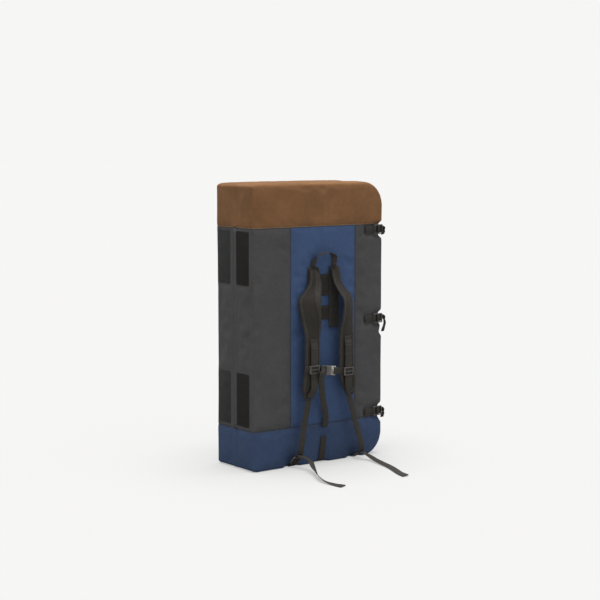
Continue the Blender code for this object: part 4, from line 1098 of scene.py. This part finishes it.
def bending_straps():
    for side, _ in SIDES:
        obj = strap(f"lower_webbing_{side}", (0.0, TAIL_HEM_LENGTH))
        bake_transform(obj)
    obj = strap("chest_strap_right")
    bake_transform(obj)
    for level in LEVELS:
        obj = strap(f"closure_strap_{level}", (0.0, HEM_LENGTH))
        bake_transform(obj)


# Shoulder pads


def pad_rims(shape):
    """The two long edges of a pad, from the top down, as lists of points of equal length."""
    rims = ([], [])
    for z in sorted({round(vert.co.z, 5) for vert in shape.verts}, reverse=True):
        ring = [vert.co for vert in shape.verts if abs(vert.co.z - z) < 2 * SAME_PLACE]
        if len(ring) == 10:
            rims[0].append(sum(sorted(ring, key=lambda p: p.x)[:2], Vector()) / 2)
            rims[1].append(sum(sorted(ring, key=lambda p: -p.x)[:2], Vector()) / 2)
    return rims


def stuffed(name, shape, rims):
    """The pad's skin, filled out by simulation but kept inside its CAD form."""
    form = BVHTree.FromBMesh(shape)
    mesh = remeshed(name, mesh_of("pad", shape), PAD_VOXEL)
    skin = bmesh.new()
    skin.from_mesh(mesh)
    smoothed(skin)
    skin.normal_update()
    pins = []
    for vert in skin.verts:
        away = min((vert.co - point).length for rim in rims for point in rim)
        pins.append(1 - eased(away, PAD_HELD_NEAR, PAD_HELD_FAR))
    moves = [vert.normal * PAD_SHRINK * (1 - pin) for vert, pin in zip(skin.verts, pins)]
    for vert, move in zip(skin.verts, moves):
        vert.co -= move
    skin.to_mesh(mesh)
    skin.clear()
    skin.from_mesh(simulated(f"{name}_cloth", mesh, pins, PAD_PRESSURE, 0.0, PAD_SWELL))
    for vert in skin.verts:
        place, normal, _, _ = form.find_nearest(vert.co)
        if (vert.co - place).dot(normal) > 0:
            vert.co = place
    refined(skin)
    return skin


def on_front(tree, point):
    """The point of a surface in front of a place, and the normal there."""
    place, normal, _, _ = tree.ray_cast(point + OUT * SEEK_OFFSET, -OUT)
    if place is None:
        place, normal, _, _ = tree.find_nearest(point)
    return place, normal


def pad_binding(name, rim, other, widths, tree):
    """A flat binding sewn along one edge of a pad, with a row of stitches on its inner border."""
    rings = []
    mapped = []
    border = []
    normals = []
    travelled = 0.0
    for index, (point, far, width) in enumerate(zip(rim, other, widths)):
        inward = (far - point).normalized()
        outer = []
        inner = []
        for step in range(BINDING_COLUMNS + 1):
            place, normal = on_front(tree, point + inward * width * step / BINDING_COLUMNS)
            outer.append(place + normal * BINDING_WALL)
            inner.append(place)
        stitched, normal = on_front(tree, point + inward * (width - STITCH_GAP * 2))
        border.append(stitched + normal * BINDING_WALL)
        normals.append(normal)
        if index:
            travelled += (point - rim[index - 1]).length
        places = [(width * step / BINDING_COLUMNS, travelled) for step in range(BINDING_COLUMNS + 1)]
        rings.append(outer + inner[::-1])
        mapped.append(places + places[::-1])
    band = mesh_of(name, along_surface(rings, False, mapped))
    riding(name, band, WEB, "shoulder_harness")
    stitches = bmesh.new()
    add_stitches(stitches, border, normals)
    sewn = f"{name}_stitching"
    riding(sewn, mesh_of(sewn, stitches), THREAD_PALE, "shoulder_harness")


def shoulder_pad(side, way):
    """A stuffed pad with a binding round each long edge, the inner one widening to a facing on the left."""
    node = f"shoulder_pad_{side}"
    shape = cad_shape(node)
    rims = pad_rims(shape)
    skin = stuffed(f"{node}_fabric", shape, rims)
    tree = BVHTree.FromBMesh(skin)
    mesh = mesh_of(f"{node}_fabric", skin)
    box_mapped(mesh)
    obj = riding(f"{node}_fabric", mesh, PAD, "shoulder_harness")
    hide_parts(node)
    inner, outer = rims if way > 0 else rims[::-1]
    count = len(inner)
    shares = [eased(1 - index / (count - 1), FACING_LOW_SHARE, FACING_HIGH_SHARE) for index in range(count)]
    spare = (FACING_WIDTH - BINDING_WIDTH) if way < 0 else 0.0
    facing = [BINDING_WIDTH + spare * share for share in shares]
    plain = [BINDING_WIDTH] * count
    for name, rim, other, widths in (("inner", inner, outer, facing), ("outer", outer, inner, plain)):
        label = f"{node}_{name}_binding"
        room = [min(width, (far - point).length / 2) for width, far, point in zip(widths, other, rim)]
        pad_binding(label, rim, other, room, tree)
        edge = cord_mesh(f"{label}_edge", resampled(rim, RIM_STEP), PAD_BINDING)
        riding(f"{label}_edge", edge, WEB, "shoulder_harness")


def strap_at(stations, z):
    """Centre, width direction and outward normal of a strap where it passes a height."""
    index = min(range(1, len(stations) - 1), key=lambda place: abs(stations[place][0].z - z))
    centre, side, width, thickness = stations[index]
    tangent = (stations[index + 1][0] - stations[index - 1][0]).normalized()
    across = (side - tangent * side.dot(tangent)).normalized()
    normal = tangent.cross(across)
    if normal.dot(OUT) < 0:
        normal = -normal
    return centre + normal * thickness / 2, across, tangent, normal, width


def pad_tacks(side):
    """Bar tacks that hold the top of the webbing to the pad."""
    stations = fine_strap(strap_rings(f"pad_webbing_{side}"))
    stitches = bmesh.new()
    for z in TACK_HEIGHTS[side]:
        centre, across, tangent, normal, width = strap_at(stations, z)
        reach = width / 2 - TACK_INSET
        count = round(2 * reach / TACK_PITCH)
        path = []
        for step in range(count + 1):
            way = 1 if step % 2 else -1
            path.append(centre + across * (2 * step / count - 1) * reach + tangent * way * TACK_TALL / 2)
        add_stitches(stitches, path, [normal] * len(path))
    name = f"pad_webbing_{side}_tacks"
    riding(name, mesh_of(name, stitches), THREAD_PALE, "shoulder_harness")


def panel_hems():
    """Stitching along the upper and lower edges of the cross panels."""
    stitches = bmesh.new()
    for level in ("upper", "lower"):
        low, high = (Vector(corner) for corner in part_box(f"cross_panel_{level}"))
        for z in (low.z + PANEL_HEM, low.z + 2 * PANEL_HEM, high.z - PANEL_HEM, high.z - 2 * PANEL_HEM):
            path = resampled([Vector((low.x, low.y, z)), Vector((high.x, low.y, z))], STITCH + STITCH_GAP)
            add_stitches(stitches, path, [OUT] * len(path))
    name = "cross_panel_stitching"
    riding(name, mesh_of(name, stitches), THREAD_PALE, "harness_half")


# Hinge, patches and hardware


def tape(node, material, body, shift):
    """A hook or loop patch with softly rounded edges and a row of stitches inside its border."""
    shape = cad_shape(node)
    bmesh.ops.dissolve_limit(shape, angle_limit=PATCH_FLAT_ANGLE, verts=shape.verts, edges=shape.edges)
    outer = [edge for edge in shape.edges if abs(edge.calc_face_angle(0.0)) > PATCH_EDGE_ANGLE]
    bmesh.ops.bevel(shape, geom=outer, offset=PATCH_EDGE, segments=2, profile=0.5, affect="EDGES")
    bmesh.ops.translate(shape, vec=Vector((-PATCH_LIFT, shift, 0)), verts=shape.verts)
    low = Vector([min(vert.co[axis] for vert in shape.verts) for axis in range(3)])
    high = Vector([max(vert.co[axis] for vert in shape.verts) for axis in range(3)])
    mesh = mesh_of(f"{node}_tape", shape)
    box_mapped(mesh)
    obj = riding(f"{node}_tape", mesh, material, body)
    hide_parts(node)
    border = PATCH_STITCH_INSET
    spots = [(low.y, low.z, 1, 1), (high.y, low.z, -1, 1), (high.y, high.z, -1, -1), (low.y, high.z, 1, -1)]
    x = low.x + STITCH_RADIUS / 2
    corners = [Vector((x, y + way_y * border, z + way_z * border)) for y, z, way_y, way_z in spots]
    path = resampled(corners, STITCH + STITCH_GAP, True)
    sewn = bmesh.new()
    add_stitches(sewn, [*path, path[0]], [-RIGHT] * len(path))
    name = f"{node}_stitching"
    riding(name, mesh_of(name, sewn), THREAD, body)


def corner_path(low, high):
    """The hinge side of a half from z = low to z = high, round its corners where it reaches them.

    Each point is how far it lies in from that side, and its height.
    """
    tall = HINGE_CORNER_TALL
    flat_low = max(low, tall)
    flat_high = min(high, HEIGHT - tall)
    rise = (flat_high - flat_low) / HINGE_ROWS
    points = [(0.0, flat_low + rise * step) for step in range(HINGE_ROWS + 1)]
    for limit, way in ((low, -1), (high, 1)):
        centre = tall if way < 0 else HEIGHT - tall
        if (limit - centre) * way <= 0:
            continue
        reach = math.asin(min((limit - centre) * way / tall, 1))
        curve = []
        for step in range(1, HINGE_BENDS + 1):
            angle = reach * step / HINGE_BENDS
            curve.append((HINGE_CORNER_WIDE * (1 - math.cos(angle)), centre + way * tall * math.sin(angle)))
        points = points + curve if way > 0 else curve[::-1] + points
    return points


def hinge_strip(name, low, high, hemmed, material, slot, *nodes):
    """A strip of fabric laid flush over both halves, with a sunk seam in its hem where it has one, and in
    that seam a cord coloured as painted shadow.
    """
    reach = HINGE_HEM if hemmed else HINGE_REACH
    rings = []
    mapped = []
    groove = []
    path = corner_path(low, high)
    for index, (inset, z) in enumerate(path):
        before = Vector(path[max(index - 1, 0)])
        after = Vector(path[min(index + 1, len(path) - 1)])
        run = (after - before).normalized()
        outward = Vector((-run.y, 0, run.x))
        skin = Vector((-WIDTH / 2 + inset, 0, z)) - outward * FULL_INSET
        outer = []
        inner = []
        for step in range(HINGE_COLUMNS + 1):
            y = FOLD_Y - HINGE_REACH + (HINGE_REACH + reach) * step / HINGE_COLUMNS
            away = (y - FOLD_Y - HINGE_SEAM_AT) / HINGE_SEAM_WIDTH
            sunk = HINGE_SEAM_DEPTH * math.exp(-away * away) if hemmed else 0.0
            edge = min(y - FOLD_Y + HINGE_REACH, FOLD_Y + reach - y)
            sunk += HINGE_DIVE * (1 - eased(edge, 0, HINGE_DIVE_REACH))
            outer.append(skin + outward * (FABRIC_CLEAR + HINGE_WALL - sunk) + OUT * -y)
            inner.append(skin + outward * (FABRIC_CLEAR - sunk) + OUT * -y)
        ring = outer + inner[::-1]
        rings.append(ring)
        mapped.append([(point.y, z) for point in ring])
        seam = skin + outward * (FABRIC_CLEAR + HINGE_WALL - HINGE_CORD)
        groove.append(seam - OUT * (FOLD_Y + HINGE_SEAM_AT))
    obj = new_object(name, mesh_of(name, along_surface(rings, False, mapped)), material)
    if nodes:
        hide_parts(*nodes)
    over_fold(obj)
    if hemmed:
        # The cord in the groove is coloured as painted shadow, standing for the seam's shade.
        seam = new_object("hinge_seam", cord_mesh("hinge_seam", groove, HINGE_CORD), SEAM)
        over_fold(seam)


def over_fold(obj):
    """Bakes the piece's placement into its mesh."""
    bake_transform(obj)


def hinge():
    nodes = ("hinge_strip_front", "hinge_strip_rear")
    clear = HINGE_END_GAP
    hinge_strip("hinge_strip_fabric", BOOT_SEAM + clear, CAP_SEAM - clear, True, GREY, "canvas_grey", *nodes)
    hinge_strip("hinge_cap_gusset", CAP_SEAM + clear, HEIGHT - clear, False, BROWN, "canvas_brown")
    hinge_strip("hinge_boot_gusset", HINGE_FOOT_GAP, BOOT_SEAM - clear, False, BOOT, "boot_fabric")


def hardware():
    """The buckle parts keep their CAD form, with moulded edges and a better plastic."""
    names = [f"base_lock_{side}" for side, _ in SIDES] + [f"chest_slider_{side}" for side, _ in SIDES]
    names += [f"closure_{part}_{level}" for part in ("lock", "socket", "plug") for level in LEVELS]
    for name in [*names, "chest_socket", "chest_plug"]:
        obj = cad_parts[name]
        obj.data.materials[0] = PLUG if name == "chest_plug" else PLASTIC
        weld = obj.modifiers.new("Weld", "WELD")
        weld.merge_threshold = SAME_PLACE
        bevel = obj.modifiers.new("Moulded edges", "BEVEL")
        bevel.width = BUCKLE_EDGE
        bevel.segments = BUCKLE_EDGE_STEPS
        bevel.angle_limit = math.radians(BUCKLE_EDGE_DEGREES)
        bevel.harden_normals = True
        obj.data.shade_smooth()


# Floor, light and camera


def floor():
    shape = bmesh.new()
    bmesh.ops.create_grid(shape, x_segments=2, y_segments=2, size=FLOOR_SIZE)
    mesh = mesh_of("floor", shape)
    material, tree = material_base("floor")
    seen = shader_node(tree, "ShaderNodeLightPath").outputs["Is Camera Ray"]
    share = ramp(tree, seen, 0.0, 1.0, 1.0, FLOOR_GLOW_SHARE)
    finished(
        material,
        Base_Color=tinted(tree, FLOOR_COLOUR, share),
        Emission_Color=(*FLOOR_GLOW, 1),
        Emission_Strength=seen,
        Roughness=0.9,
        Specular_IOR_Level=0.0,
    )
    obj = new_object("floor", mesh, material)
    obj.location.z = -FLOOR_DROP


def sky():
    world = bpy.data.worlds.new("studio")
    world.use_nodes = True
    bpy.context.scene.world = world
    tree = world.node_tree
    shader = tree.nodes["Background"]
    seen = shader_node(tree, "ShaderNodeLightPath").outputs["Is Camera Ray"]
    towards = shader_node(tree, "ShaderNodeTexCoord").outputs["Generated"]
    values = {0: towards, 1: SKY_BRIGHT_SIDE}
    slope = shader_node(tree, "ShaderNodeVectorMath", values, operation="DOT_PRODUCT").outputs["Value"]
    level = product(tree, maths(tree, "MULTIPLY_ADD", slope, SKY_SLOPE, 1.0), SKY_LIGHT)
    values = {"Red": level, "Green": level, "Blue": level}
    grey = shader_node(tree, "ShaderNodeCombineColor", values).outputs["Color"]
    mix = shader_node(tree, "ShaderNodeMix", {"Factor": seen}, data_type="RGBA")
    tree.links.new(grey, mix.inputs[6])
    mix.inputs[7].default_value = (*SKY_SEEN, 1)
    tree.links.new(mix.outputs[2], shader.inputs["Color"])


def overhead():
    lamp = bpy.data.lights.new("overhead", "SUN")
    lamp.angle = math.radians(TOP_LIGHT_DEGREES)
    lamp.energy = TOP_LIGHT_STRENGTH
    obj = bpy.data.objects.new("overhead", lamp)
    bpy.context.scene.collection.objects.link(obj)


def camera():
    data = bpy.data.cameras.new("camera")
    data.sensor_width = SENSOR
    data.lens = SENSOR * LENS_SHARE
    obj = bpy.data.objects.new("camera", data)
    azimuth = math.radians(CAMERA_AZIMUTH)
    pitch = math.radians(CAMERA_PITCH)
    level = Vector((-math.sin(azimuth), math.cos(azimuth), 0))
    ahead = level * math.cos(pitch) - UP * math.sin(pitch)
    obj.location = CAMERA_PLACE
    obj.rotation_euler = ahead.to_track_quat("-Z", "Y").to_euler()
    bpy.context.scene.collection.objects.link(obj)
    bpy.context.scene.camera = obj


BROWN = canvas("canvas_brown_woven", CANVAS_BROWN)
GREY = canvas("canvas_grey_woven", CANVAS_GREY, CANVAS_PITCH, 0.06)
BLUE = canvas("canvas_blue_woven", CANVAS_BLUE, CANVAS_PITCH, 0.06)
BOOT = canvas("boot_woven", BOOT_BLUE, BOOT_PITCH, 0.06)
PIPING = canvas("piping_woven", PIPING_TAN)
PAD = canvas("pad_woven", PAD_BLACK, PAD_PITCH)
WEB = webbing("webbing_woven", WEB_BLACK)
HOOK = hook_tape("hook_tape_pile", HOOK_BLACK)
LOOP = loop_tape("loop_tape_pile", LOOP_GREY)
PLASTIC = moulded("buckle_nylon", PLASTIC_BLACK)
PLUG = moulded("plug_nylon", PLUG_GREY, PLUG_DARK_TO)
THREAD = thread("seam_thread", THREAD_DARK)
THREAD_PALE = thread("tack_thread", THREAD_LIGHT)
SEAM = thread("seam_shadow", SEAM_SHADOW)
DENSE = foam_block("foam_dense_cells", FOAM_DENSE, DENSE_CELL)
OPEN = foam_block("foam_open_cells", FOAM_OPEN, OPEN_CELL)


def build():
    for side, outer, inner, body in (
        ("front", FRONT, -FRONT, "harness_half"),
        ("rear", REAR_OUTER, REAR_INNER, "rear_half"),
    ):
        skin = half_skin(side, outer, inner)
        split_covers(side, skin, body)
        seam_trim(side, skin, body)
        skin.free()
        foams(side, body)
    hinge()
    for level in ("upper", "lower"):
        tape(f"hook_patch_{level}", HOOK, "harness_half", 0.0)
        tape(f"loop_patch_{level}", LOOP, "rear_half", LOOP_SHIFT)
    riding_straps()
    bending_straps()
    for side, way in SIDES:
        shoulder_pad(side, way)
        pad_tacks(side)
    panel_hems()
    hardware()
    floor()
    sky()
    overhead()
    camera()
    scene = bpy.context.scene
    scene.view_settings.view_transform = "Standard"


build()
